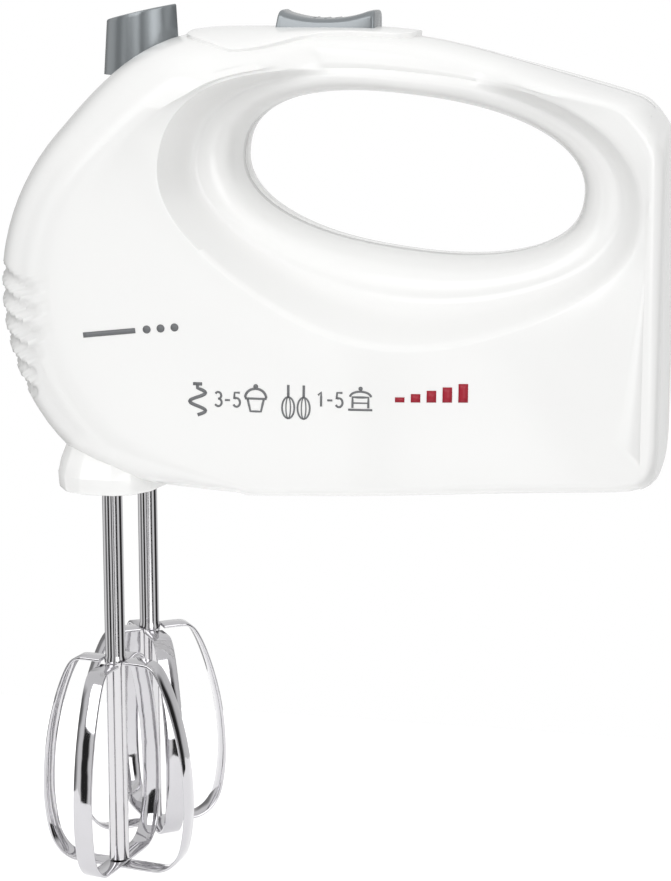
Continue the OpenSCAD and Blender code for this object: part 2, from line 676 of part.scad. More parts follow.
button_slope = 13;                  // rise of the button's flat top towards the handle, in degrees
button_top = 76.3;                  // height of the middle of its top
module eject_button() color(grey) intersection() {
    translate([button_x, 0, button_base_z]) linear_extrude(40) lens(button_l, button_w);
    translate([button_x, 0, button_top]) rotate([0, -button_slope, 0]) box([-40, -20, -40], [40, 20, 0]);
}
module ejector_fork() color(grey) {
    box([stem_x - rod_w / 2, -rod_w / 2, fork_z + plate_t], [stem_x + rod_w / 2, rod_w / 2, button_base_z]);
    translate([0, 0, fork_z]) linear_extrude(plate_t) union() {
        for (s = [-1, 1]) translate([beater_x, s * half_space]) circle(beater_d / 2 + 1.5);
        translate([(beater_x + stem_x) / 2 + 1, 0]) square([abs(stem_x - beater_x) + 5, beater_spacing], center = true);
    }
}
module ejector_guide() color(grey) difference() {
    translate([stem_x, 0, guide_z]) linear_extrude(guide_t) round_rect([20, 34], 4);
    box([stem_x - rod_w / 2 - 0.2, -rod_w / 2 - 0.2, guide_z - 1], [stem_x + rod_w / 2 + 0.2, rod_w / 2 + 0.2, guide_z + 9]);
}
module eject_spring() color(chrome)
    translate([stem_x, 0, guide_z + guide_t]) coil(4.6, 0.45, button_base_z - guide_z - guide_t, 6);

// ---------- Speed control ----------

module speed_slider() color(grey) {
    difference() {
        translate([slider_x, 0, cover_top + 0.2]) linear_extrude(4.6) round_rect([slider_l, slider_w], 2.5);
        rod_y(38, -20, 20, slider_x, cover_top + 2.4 + 38);
    }
    box([slider_x - stem_w / 2, -2, cover_top - cover_t - 0.2], [slider_x + stem_w / 2, 2, cover_top + 1.2]);
}
module slider_carriage() color(dark)
    box([slider_x - 7, -8, cover_top - cover_t - 2.2], [slider_x + 7, 8, cover_top - cover_t - 0.2]);
module switch_block() color(dark) difference() {
    box([slider_x - slider_travel - 8, -8, 59], [slider_x + 14, 8, cover_top - cover_t - 2.6]);
    box([slider_x - slider_travel - 6, -6, 62], [slider_x + 12, 6, 90]);
}

// ---------- Electrics and cord entry ----------

board_y = -12;
board_t = 1.6;
module circuit_board() color(green) {
    box([-42, board_y, -36], [-16, board_y + board_t, -8]);
    box([-40, board_y + board_t, -24], [-32, board_y + board_t + 5, -12]);
}
module suppression_capacitor() color(dark)
    box([-28, board_y + board_t + seat_gap, -34], [-18, board_y + board_t + 8, -22]);
module cord_gland() color(dark) difference() {
    rod_z(gland_r, gland_bottom, gland_top, gland_x);
    rod_z(cord_d / 2, gland_bottom - 1, gland_top + 1, gland_x);
}
module cord_clamp() color(grey) difference() {
    box([gland_x - 6, -13, gland_top + seat_gap], [gland_x + 6, 13, gland_top + 4]);
    rod_z(cord_d / 2, gland_top - 1, gland_top + 9, gland_x);
    for (s = [-1, 1]) rod_z(screw_r, gland_top - 1, gland_top + 9, gland_x, s * 10);
}
module clamp_screws() color(steel) for (s = [-1, 1]) {
    rod_z(screw_r - seat_gap, gland_top - 5, gland_top + 4, gland_x, s * 10);
    rod_z(2.6, gland_top + 4, gland_top + 5.6, gland_x, s * 10);
}

left_housing();
right_housing();
handle_cover();
heel_cover();
socket_housing();
housing_screws();
gearbox_base();
gearbox_cover();
gearbox_screws();
spindle_bushes();
stator_core();
field_coils();
front_bracket();
rear_bracket();
front_bearing();
rear_bearing();
brush_holders();
carbon_brushes();
brush_springs();
motor_shaft();
worm();
armature_core();
armature_winding();
commutator();
cooling_fan();
left_worm_wheel();
left_spindle();
left_spindle_clip();
right_worm_wheel();
right_spindle();
right_spindle_clip();
left_beater_shaft();
left_beater_loop_a();
left_beater_loop_b();
left_beater_rivet();
right_beater_shaft();
right_beater_loop_a();
right_beater_loop_b();
right_beater_rivet();
eject_button();
ejector_fork();
ejector_guide();
eject_spring();
speed_slider();
slider_carriage();
switch_block();
circuit_board();
suppression_capacitor();
cord_gland();
cord_clamp();
clamp_screws();
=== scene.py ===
"""The looks of a hand mixer: its finished meshes and materials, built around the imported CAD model.

Every length in a class is in millimetres and is turned to metres where a mesh is made. The frame is the
CAD model's: the heel face is x = 0, the nose points along -X, +Z is up, and y = 0 splits the two shells.
"""
import json
import logging
import math
from dataclasses import dataclass, field
from enum import Enum

import bmesh
import bpy
from mathutils import Matrix, Vector
from mathutils.bvhtree import BVHTree


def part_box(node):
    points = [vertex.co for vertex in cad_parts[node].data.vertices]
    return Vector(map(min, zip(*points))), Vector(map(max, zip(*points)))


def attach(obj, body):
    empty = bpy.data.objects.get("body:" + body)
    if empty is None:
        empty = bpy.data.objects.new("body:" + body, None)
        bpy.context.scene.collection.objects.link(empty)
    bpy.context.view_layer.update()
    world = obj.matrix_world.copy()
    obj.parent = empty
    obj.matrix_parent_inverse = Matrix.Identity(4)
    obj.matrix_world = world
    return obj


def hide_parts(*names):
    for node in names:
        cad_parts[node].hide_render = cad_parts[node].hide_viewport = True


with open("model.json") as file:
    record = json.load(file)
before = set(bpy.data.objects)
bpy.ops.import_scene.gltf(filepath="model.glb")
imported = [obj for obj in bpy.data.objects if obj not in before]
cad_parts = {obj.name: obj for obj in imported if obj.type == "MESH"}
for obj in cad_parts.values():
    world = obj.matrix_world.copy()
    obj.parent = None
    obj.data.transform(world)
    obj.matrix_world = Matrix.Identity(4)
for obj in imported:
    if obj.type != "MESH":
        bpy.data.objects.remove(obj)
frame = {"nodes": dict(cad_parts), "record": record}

LOG = logging.getLogger("hand_mixer")
MM = 0.001


class Side(Enum):
    """The two halves of the mixer; the value is the sign of y."""

    LEFT = -1
    RIGHT = 1


# ---------------------------------------------------------------- small helpers


def clamp01(t: float) -> float:
    """Limits a number to the range 0 to 1."""
    return max(0.0, min(1.0, t))


def ease(t: float) -> float:
    """Turns 0 to 1 into a smooth step from 0 to 1."""
    c = clamp01(t)
    return c * c * (3 - 2 * c)


def mix(a: float, b: float, t: float) -> float:
    """Goes from a to b as t goes from 0 to 1."""
    return a + (b - a) * t


def linear(hex_colour: str) -> tuple[float, float, float, float]:
    """Turns an sRGB hex colour into a linear one.

    Args:
        hex_colour: Six hex digits, such as "e8e8e6".

    Returns:
        Linear red, green and blue, and an alpha of 1.
    """
    parts = [int(hex_colour[i:i + 2], 16) / 255 for i in (0, 2, 4)]
    red, green, blue = [c / 12.92 if c <= 0.04045 else ((c + 0.055) / 1.055) ** 2.4 for c in parts]
    return (red, green, blue, 1.0)


def add_node(tree: bpy.types.NodeTree, kind: str, values: dict | None = None, links: dict | None = None,
             **settings: object) -> bpy.types.Node:
    """Adds one node with its settings, its values and the links into it.

    Args:
        tree: The node tree to add to.
        kind: The node's type name.
        values: Socket name or number to its fixed value.
        links: Socket name or number to the output socket that feeds it.
        **settings: Properties of the node itself.

    Returns:
        The new node.
    """
    node = tree.nodes.new(kind)
    for name, value in settings.items():
        setattr(node, name, value)
    for name, value in (values or {}).items():
        node.inputs[name].default_value = value
    for name, source in (links or {}).items():
        tree.links.new(source, node.inputs[name])
    return node


# ---------------------------------------------------------------- finishes


@dataclass(frozen=True)
class Finish:
    """One real material and how its surface was made.

    Attributes:
        name: The material's name, its stuff and its process.
        colour: sRGB hex colour.
        roughness: Mean roughness of the surface.
        metallic: 1 for bare metal, 0 for everything else.
        ior: Index of refraction; metals keep the default.
        grain_mm: Size of the fine surface relief.
        grain_depth: Strength of the fine relief.
        wave_mm: Size of the slow waviness of a moulded or drawn surface.
        wave_depth: Strength of the slow waviness.
        tint: Share by which the colour drifts across the piece.
        brushed: How many times longer than wide the relief is, along Z.
    """

    name: str
    colour: str
    roughness: float
    metallic: float = 0.0
    ior: float = 1.5
    grain_mm: float = 0.5
    grain_depth: float = 0.04
    wave_mm: float = 30.0
    wave_depth: float = 0.0
    tint: float = 0.03
    brushed: float = 1.0

    def build(self) -> bpy.types.Material:
        """Makes the node material.

        Returns:
            The material, read from Object coordinates.
        """
        material = bpy.data.materials.new(self.name)
        material.use_nodes = True
        tree = material.node_tree
        tree.nodes.clear()
        place = add_node(tree, "ShaderNodeTexCoord")
        stretch = add_node(tree, "ShaderNodeMapping", {"Scale": (1, 1, 1 / self.brushed)},
                           {"Vector": place.outputs["Object"]})
        fine = add_node(tree, "ShaderNodeTexNoise", {"Scale": 1000 / self.grain_mm, "Detail": 2.0},
                        {"Vector": stretch.outputs["Vector"]})
        slow = add_node(tree, "ShaderNodeTexNoise", {"Scale": 1000 / self.wave_mm, "Detail": 1.0},
                        {"Vector": place.outputs["Object"]})
        base = linear(self.colour)
        low = tuple(c * (1 - self.tint) for c in base[:3]) + (1.0,)
        colour = add_node(tree, "ShaderNodeMix", {6: low, 7: base}, {0: slow.outputs["Fac"]}, data_type="RGBA")
        rough = add_node(tree, "ShaderNodeMapRange",
                         {"To Min": self.roughness * 0.85, "To Max": self.roughness * 1.15},
                         {"Value": fine.outputs["Fac"]})
        wave = add_node(tree, "ShaderNodeBump", {"Strength": self.wave_depth, "Distance": 0.002},
                        {"Height": slow.outputs["Fac"]})
        bump = add_node(tree, "ShaderNodeBump", {"Strength": self.grain_depth, "Distance": 0.0001},
                        {"Height": fine.outputs["Fac"], "Normal": wave.outputs["Normal"]})
        values = {"Metallic": self.metallic}
        if not self.metallic:
            values["IOR"] = self.ior
        shader = add_node(tree, "ShaderNodeBsdfPrincipled", values,
                          {"Base Color": colour.outputs[2], "Roughness": rough.outputs["Result"],
                           "Normal": bump.outputs["Normal"]})
        add_node(tree, "ShaderNodeOutputMaterial", links={"Surface": shader.outputs["BSDF"]})
        return material


# Moulded ABS from a polished tool: bright, slightly cool white with soft, slightly wavy reflections
WHITE_ABS = Finish("white_abs_polished_mould", "f1f1f0", 0.2, ior=1.53, grain_mm=0.6, grain_depth=0.02,
                   wave_mm=40, wave_depth=0.02, tint=0.015)
# ABS with metal-flake silver pigment from a fine spark-eroded tool: soft satin gloss with a metallic sheen
SILVER_ABS = Finish("silver_grey_abs_satin_mould", "858a8d", 0.22, metallic=0.45, grain_mm=0.35, grain_depth=0.08,
                    tint=0.05)
# Chrome plate on rolled strip, polished before plating: sharp mirror with a faint waviness along the strip
CHROME_PLATE = Finish("chrome_plate_on_rolled_strip", "c6c5c8", 0.06, metallic=1.0, grain_mm=0.5,
                      grain_depth=0.03, wave_mm=9, wave_depth=0.14, tint=0.05, brushed=6)
# Chrome plate on a ground rod: straight reflections along the shaft
CHROME_ROD = Finish("chrome_plate_on_ground_rod", "cdccce", 0.07, metallic=1.0, grain_mm=0.4,
                    grain_depth=0.02, wave_mm=30, wave_depth=0.01, tint=0.03, brushed=12)
# Pad-printed lacquer: thin, flat and a little duller than the plastic under it
GREY_INK = Finish("grey_pad_printing_ink", "6f7173", 0.42, grain_mm=0.2, grain_depth=0.1, tint=0.08)
RED_INK = Finish("red_pad_printing_ink", "a3122b", 0.4, grain_mm=0.2, grain_depth=0.1, tint=0.08)
# Finishes of what the shells hide, by the record's material slots
INNER_FINISHES = {
    "white_plastic": WHITE_ABS,
    "grey_plastic": SILVER_ABS,
    "chrome": CHROME_PLATE,
    "steel": Finish("turned_steel", "9b9da1", 0.28, metallic=1.0, grain_mm=0.2, grain_depth=0.15, tint=0.1),
    "laminations": Finish("varnished_steel_laminations", "55585d", 0.45, metallic=1.0, grain_mm=0.5,
                          grain_depth=0.5, tint=0.2),
    "copper": Finish("enamelled_copper_wire", "b06a3a", 0.3, metallic=1.0, grain_mm=0.5, grain_depth=0.5,
                     tint=0.25),
    "brass": Finish("drawn_brass", "c7a555", 0.3, metallic=1.0, grain_mm=0.3, grain_depth=0.15, tint=0.12),
    "nylon": Finish("natural_nylon_moulding", "ece7d6", 0.45, ior=1.53, grain_mm=0.6, grain_depth=0.1, tint=0.06),
    "inner_plastic": Finish("grey_glass_filled_nylon", "9a9c9f", 0.55, ior=1.53, grain_mm=0.4,
                            grain_depth=0.25, tint=0.1),
    "black_plastic": Finish("black_abs_satin_mould", "1b1b1d", 0.42, ior=1.53, grain_mm=0.3, grain_depth=0.15,
                            tint=0.2),
    "carbon": Finish("pressed_carbon", "202022", 0.7, grain_mm=0.3, grain_depth=0.4, tint=0.3),
    "board": Finish("solder_masked_board", "17502c", 0.35, ior=1.5, grain_mm=0.4, grain_depth=0.1, tint=0.2),
}


# ---------------------------------------------------------------- pieces


@dataclass
class Piece:
    """One finished mesh in the shared frame.

    Attributes:
        name: The object's name.
        body: The CAD body that it moves with.
        slot: The record's material slot; not used.
        replaces: The CAD nodes that it stands for.
        materials: Its materials, in slot order.
    """

    name: str
    body: str
    slot: str
    replaces: tuple[str, ...] = ()
    materials: tuple[bpy.types.Material, ...] = ()

    def finish(self, mesh_data: bmesh.types.BMesh, smooth_angle: float = 35.0,
               outward: bool = True) -> bpy.types.Object:
        """Turns a bmesh in millimetres into a piece of the scene.

        Args:
            mesh_data: The bmesh; it is freed here.
            smooth_angle: Edges sharper than this many degrees stay sharp.
            outward: Whether to recalculate the normals first.

        Returns:
            The object, at the origin, riding on its body.
        """
        bmesh.ops.remove_doubles(mesh_data, verts=mesh_data.verts, dist=0.0005)
        if outward:
            bmesh.ops.recalc_face_normals(mesh_data, faces=mesh_data.faces)
        bmesh.ops.scale(mesh_data, vec=(MM, MM, MM), verts=mesh_data.verts)
        limit = math.radians(smooth_angle)
        for edge in mesh_data.edges:
            edge.smooth = len(edge.link_faces) != 2 or edge.calc_face_angle(0.0) < limit
        for face in mesh_data.faces:
            face.smooth = True
        mesh = bpy.data.meshes.new(self.name)
        mesh_data.to_mesh(mesh)
        mesh_data.free()
        for material in self.materials:
            mesh.materials.append(material)
        thing = bpy.data.objects.new(self.name, mesh)
        bpy.context.scene.collection.objects.link(thing)
        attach(thing, self.body)
        if self.replaces:
            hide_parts(*self.replaces)
        LOG.info("%s: %d faces on %s", self.name, len(mesh.polygons), self.body)
        return thing


def ring(work: bmesh.types.BMesh, places: list[Vector], closed: bool = True) -> list[bmesh.types.BMEdge]:
    """Adds one ring or chain of vertices with its edges.

    Args:
        work: The bmesh to add to.
        places: Where the vertices go, in order.
        closed: Whether the last vertex joins the first.

    Returns:
        The edges, in order.
    """
    verts = [work.verts.new(place) for place in places]
    count = len(verts) if closed else len(verts) - 1
    return [work.edges.new((verts[i], verts[(i + 1) % len(verts)])) for i in range(count)]


def loft(work: bmesh.types.BMesh, rings: list[list[Vector]], closed: bool = True, loop: bool = False) -> None:
    """Bridges rings of equal length, one after the other.

    Args:
        work: The bmesh to add to.
        rings: The rings' places.
        closed: Whether each ring is closed.
        loop: Whether the last ring joins the first.
    """
    edges = [ring(work, places, closed) for places in rings]
    pairs = list(zip(edges, edges[1:])) + ([(edges[-1], edges[0])] if loop else [])
    for first, second in pairs:
        bmesh.ops.bridge_loops(work, edges=first + second)


def circle(middle: Vector, radius: float, z: float, count: int) -> list[Vector]:
    """Points of a level circle.

    Args:
        middle: Its centre; the height is not used.
        radius: Its radius.
        z: Its height.
        count: The number of points.

    Returns:
        The points, in order.
    """
    turns = [math.tau * k / count for k in range(count)]
    return [Vector((middle.x + radius * math.cos(a), middle.y + radius * math.sin(a), z)) for a in turns]


def cap(work: bmesh.types.BMesh) -> None:
    """Closes every open ring of a bmesh."""
    open_edges = [e for e in work.edges if e.is_boundary]
    bmesh.ops.holes_fill(work, edges=open_edges, sides=0)


# ---------------------------------------------------------------- the shape of the body


@dataclass(frozen=True)
class BodyShape:
    """The outer form of the body, as rays from the centre of the finger opening.

    Angles are in degrees: 0 points to the heel (+X) and 90 points up.
    """

    hole_x: float = -73.0
    hole_z: float = 31.8
    hole_a: float = 49.5
    hole_b: float = 22.0
    hole_tilt: float = 7.0
    hole_exp: float = 2.3
    nose_x: float = -125.0
    nose_z: float = -3.0
    nose_r: float = 68.0
    brow: float = 6.5
    brow_from: float = 42.0
    brow_span: float = 40.0
    rise: float = 0.278
    top_line_z: float = 51.8
    corner_tilt: float = 38.0
    corner_reach: float = 27.8
    crisp_exp: float = 60.0
    heel_drop: float = 56.0
    belly_z: float = 60.5
    belly_w: float = 37.3
    heel_w: float = 25.0
    handle_w: float = 16.5
    corner_exp: float = 18.0
    shoulder_exp: float = 2.3
    # Lip round the opening: its base width, less towards the top, more towards the ends
    lip_w: float = 7.8
    lip_less_up: float = 3.2
    lip_more_ends: float = 2.2
    # Dished crescent outside the lip
    dish_w: float = 9.1
    dish_less_up: float = 3.6
    dish_less_ends: float = 2.0
    dish_less_handle: float = 0.55
    dish_fill: float = 0.12
    ridge_lift: float = 0.5
    crest: float = 1.6
    # Rounding from the flat side to the outline, wider on the nose
    shoulder_w: float = 6.5
    shoulder_nose: float = 18.0
    # Steps of a profile along the lip, the dish, the flat side and the shoulder
    curve_steps: int = 9
    flat_steps: int = 4
    edge_steps: int = 12
    # Cooling flutes on the nose
    flute_count: int = 6
    flute_pitch: float = 6.25
    flute_top: float = 4.5
    flute_slope: float = 0.30
    flute_depth: float = 1.5
    flute_from_x: float = -193.0
    flute_to_x: float = -172.5
    flute_mid_z: float = -12.0
    flute_lean: float = 0.2
    flute_from_y: float = 15.0
    flute_fade: float = 2.5
    flute_half: float = 0.33

    def hole_edge(self, th: float) -> float:
        """Measures from the centre to the edge of the opening.

        Args:
            th: The ray's angle.

        Returns:
            The distance, on a tilted superellipse.
        """
        t = math.radians(th + self.hole_tilt)
        n = self.hole_exp
        return (abs(math.cos(t) / self.hole_a) ** n + abs(math.sin(t) / self.hole_b) ** n) ** (-1 / n)

    def to_line(self, th: float, a: float, b: float, c: float) -> float:
        """Measures along a ray to the line a*x + b*z = c.

        Args:
            th: The ray's angle.
            a: Factor of x in the line.
            b: Factor of z in the line.
            c: Right side of the line.

        Returns:
            The distance, or far away if the ray leaves the line.
        """
        t = math.radians(th)
        d = a * math.cos(t) + b * math.sin(t)
        return (c - a * self.hole_x - b * self.hole_z) / d if d > 0.02 else 1e4

    def nose_radius(self, x: float, z: float) -> float:
        """Radius of the nose at a place: it grows where the nose runs into the crown."""
        up = math.degrees(math.atan2(z - self.nose_z, self.nose_x - x))
        return self.nose_r + self.brow * ease((up - self.brow_from) / self.brow_span)

    def to_nose(self, th: float) -> float:
        """Measures along a ray to the nose, by stepping to the radius that holds where it lands.

        Args:
            th: The ray's angle.

        Returns:
            The distance.
        """
        t = math.radians(th)
        ox, oz = self.hole_x - self.nose_x, self.hole_z - self.nose_z
        b = ox * math.cos(t) + oz * math.sin(t)
        radius, dist = self.nose_r, 0.0
        for _ in range(8):
            dist = -b + math.sqrt(max(0.0, b * b - (ox * ox + oz * oz - radius * radius)))
            radius = self.nose_radius(self.hole_x + dist * math.cos(t), self.hole_z + dist * math.sin(t))
        return dist

    def outline(self, th: float) -> float:
        """Measures along a ray to the side view's outline, a soft minimum of its stretches.

        Args:
            th: The ray's angle.

        Returns:
            The distance.
        """
        t = math.radians(th)
        nose = self.to_nose(th)
        if self.hole_x + nose * math.cos(t) > self.nose_x:
            nose = self.to_line(th, 0, 1, self.nose_z + self.nose_r + self.brow)
        reaches = [
            nose,
            self.to_line(th, self.rise, 1, self.top_line_z),
            self.to_line(th, 1, 0, 2.6),
            self.to_line(th, (self.belly_z - self.heel_drop) / -self.nose_x, -1, self.heel_drop),
        ]
        tilt = math.radians(self.corner_tilt)
        corner = self.to_line(th, math.cos(tilt), math.sin(tilt), self.corner_reach)
        return self.soft_min([self.soft_min(reaches, self.corner_exp), corner], self.crisp_exp)

    def soft_min(self, reaches: list[float], sharpness: float) -> float:
        """The least of some distances, rounded where two of them are nearly equal."""
        return sum((r / 100) ** -sharpness for r in reaches) ** (-1 / sharpness) * 100

    def edge_angle(self, x: float, beyond: float) -> float:
        """Finds the ray whose outline point lies on a plane of constant x.

        Args:
            x: The plane's place.
            beyond: An angle past the one that is looked for.

        Returns:
            The angle, between 0 and the one beyond.
        """
        inside, outside = 0.0, beyond
        for _ in range(30):
            middle = (inside + outside) / 2
            if self.hole_x + self.outline(middle) * math.cos(math.radians(middle)) > x:
                inside = middle
            else:
                outside = middle
        return inside

    def on_handle(self, th: float) -> float:
        """1 where a ray crosses the handle bar, 0 where it crosses the body around it."""
        return ease((math.sin(math.radians(th)) - 0.42) / 0.4)

    def at_nose(self, th: float) -> float:
        """1 where a ray points at the round nose."""
        return ease((math.cos(math.radians(th - 187)) - 0.5) / 0.4)

    def side_w(self, th: float, x: float) -> float:
        """Half width of the body's side on a ray."""
        body = mix(self.belly_w, self.heel_w, ease((x + 90) / 80))
        return mix(body, self.handle_w, self.on_handle(th))

    def lip(self, th: float) -> float:
        """Width of the raised lip round the opening."""
        c2, s = math.cos(math.radians(th)) ** 2, math.sin(math.radians(th))
        return self.lip_w - self.lip_less_up * s + self.lip_more_ends * c2

    def dish(self, th: float) -> float:
        """Gives the width of the dished crescent outside the lip.

        Args:
            th: The ray's angle.

        Returns:
            The width, narrower on the handle bar.
        """
        c2, s = math.cos(math.radians(th)) ** 2, math.sin(math.radians(th))
        width = self.dish_w - self.dish_less_up * s - self.dish_less_ends * c2
        return width * (1 - self.dish_less_handle * self.on_handle(th))

    def profile(self, th: float) -> list[tuple[float, float]]:
        """The outer skin along a ray, from the opening's edge to the outline.

        Args:
            th: The ray's angle.

        Returns:
            Pairs of distance from the centre and depth from the split.
        """
        t = math.radians(th)
        r0 = self.hole_edge(th)
        r1 = r0 + self.lip(th)
        r4 = self.outline(th)
        r2 = min(r1 + self.dish(th), r4 - 4)
        r3 = max(r2 + 1.5, r4 - (self.shoulder_w + self.shoulder_nose * self.at_nose(th)))
        ridge = self.handle_w + self.ridge_lift
        w2 = mix(self.side_w(th, self.hole_x + r2 * math.cos(t)), ridge, self.dish_fill)
        w3 = self.side_w(th, self.hole_x + r3 * math.cos(t))
        crest = self.crest * (1 - 0.5 * self.on_handle(th))
        points = []
        for i in range(self.curve_steps):
            a = math.radians(90 * i / self.curve_steps)
            points.append((r0 + (r1 - r0 - crest) * (1 - math.cos(a)) ** 1.15, (ridge - 0.2) * math.sin(a) ** 0.9))
        # A narrow crest where the lip meets the dish
        points.append((r1 - crest * 0.5, ridge))
        points.append((r1, ridge - 0.1))
        for i in range(1, self.curve_steps):
            u = i / self.curve_steps
            points.append((mix(r1, r2, u), mix(ridge - 0.1, w2, u ** 2.1 * (1.9 - 0.9 * u))))
        # A fine step where the dish meets the flat side
        points.append((r2, w2 - 0.15))
        points.append((r2 + 0.9, w2 + 0.15))
        for i in range(1, self.flat_steps):
            u = i / self.flat_steps
            points.append((mix(r2 + 0.9, r3, u), mix(w2 + 0.15, w3, u)))
        for i in range(self.edge_steps + 1):
            a = math.radians(90 * i / self.edge_steps)
            points.append((r3 + (r4 - r3) * math.sin(a) ** (2 / self.shoulder_exp),
                           w3 * max(0.0, math.cos(a)) ** (2 / self.shoulder_exp)))
        return points

    def flute(self, x: float, y: float, z: float) -> float:
        """Gives the depth of the cooling flutes at a place on the nose.

        Args:
            x: The place along the mixer.
            y: Its depth from the split.
            z: Its height.

        Returns:
            The depth, 0 outside the flutes.
        """
        end_x = self.flute_to_x - self.flute_lean * abs(z - self.flute_mid_z)
        reach = clamp01((end_x - x) / self.flute_fade) * clamp01((y - self.flute_from_y) / self.flute_fade)
        if reach <= 0:
            return 0.0
        across = self.flute_top - self.flute_slope * (x - self.flute_from_x) - z
        index = round(across / self.flute_pitch)
        if index < 0 or index >= self.flute_count:
            return 0.0
        off = abs(across - index * self.flute_pitch) / (self.flute_pitch * self.flute_half)
        return self.flute_depth * ease(reach) * (1 - clamp01(off) ** 4)

    def place(self, th: float, dist: float, depth: float, side: Side) -> Vector:
        """Turns a ray, a distance and a depth into a point in the frame.

        Args:
            th: The ray's angle.
            dist: Distance from the centre of the opening.
            depth: Distance from the split.
            side: The shell.

        Returns:
            The point, sunk where a flute crosses it.
        """
        t = math.radians(th)
        x, z = self.hole_x + dist * math.cos(t), self.hole_z + dist * math.sin(t)
        cut = self.flute(x, depth, z)
        if cut:
            out = Vector((x - self.nose_x, depth * 1.2, z - self.nose_z)).normalized()
            x, depth, z = x - out.x * cut, max(0.0, depth - out.y * cut), z - out.z * cut
        return Vector((x, side.value * depth, z))

    def rays(self) -> list[float]:
        """Chooses the angles of the rays.

        Returns:
            The angles: finest over the flutes, fine at the heel, wider elsewhere.
        """
        angles, th = [], 0.0
        while th < 360:
            angles.append(th)
            if 189 < th < 213:
                th += 0.22
            elif th < 36 or th > 308:
                th += 1.0
            else:
                th += 2.0
        return angles

    def below_top(self, th: float, length: float, side: Side, lift: float) -> Vector:
        """A point on the skin, a length down from the outline along a ray's profile.

        Args:
            th: The ray's angle.
            length: Length along the skin from the split at the outline.
            side: The shell.
            lift: How far the point stands out of the skin.

        Returns:
            The point in the frame.
        """
        points = self.profile(th)[::-1]
        left = length
        for (r_a, y_a), (r_b, y_b) in zip(points, points[1:]):
            span = math.hypot(r_b - r_a, y_b - y_a)
            if span >= left and span > 0:
                u = left / span
                n_r, n_y = (y_b - y_a) / span, -(r_b - r_a) / span
                return self.place(th, mix(r_a, r_b, u) + n_r * lift, max(0.0, mix(y_a, y_b, u) + n_y * lift), side)
            left -= span
        return self.place(th, points[-1][0], points[-1][1], side)


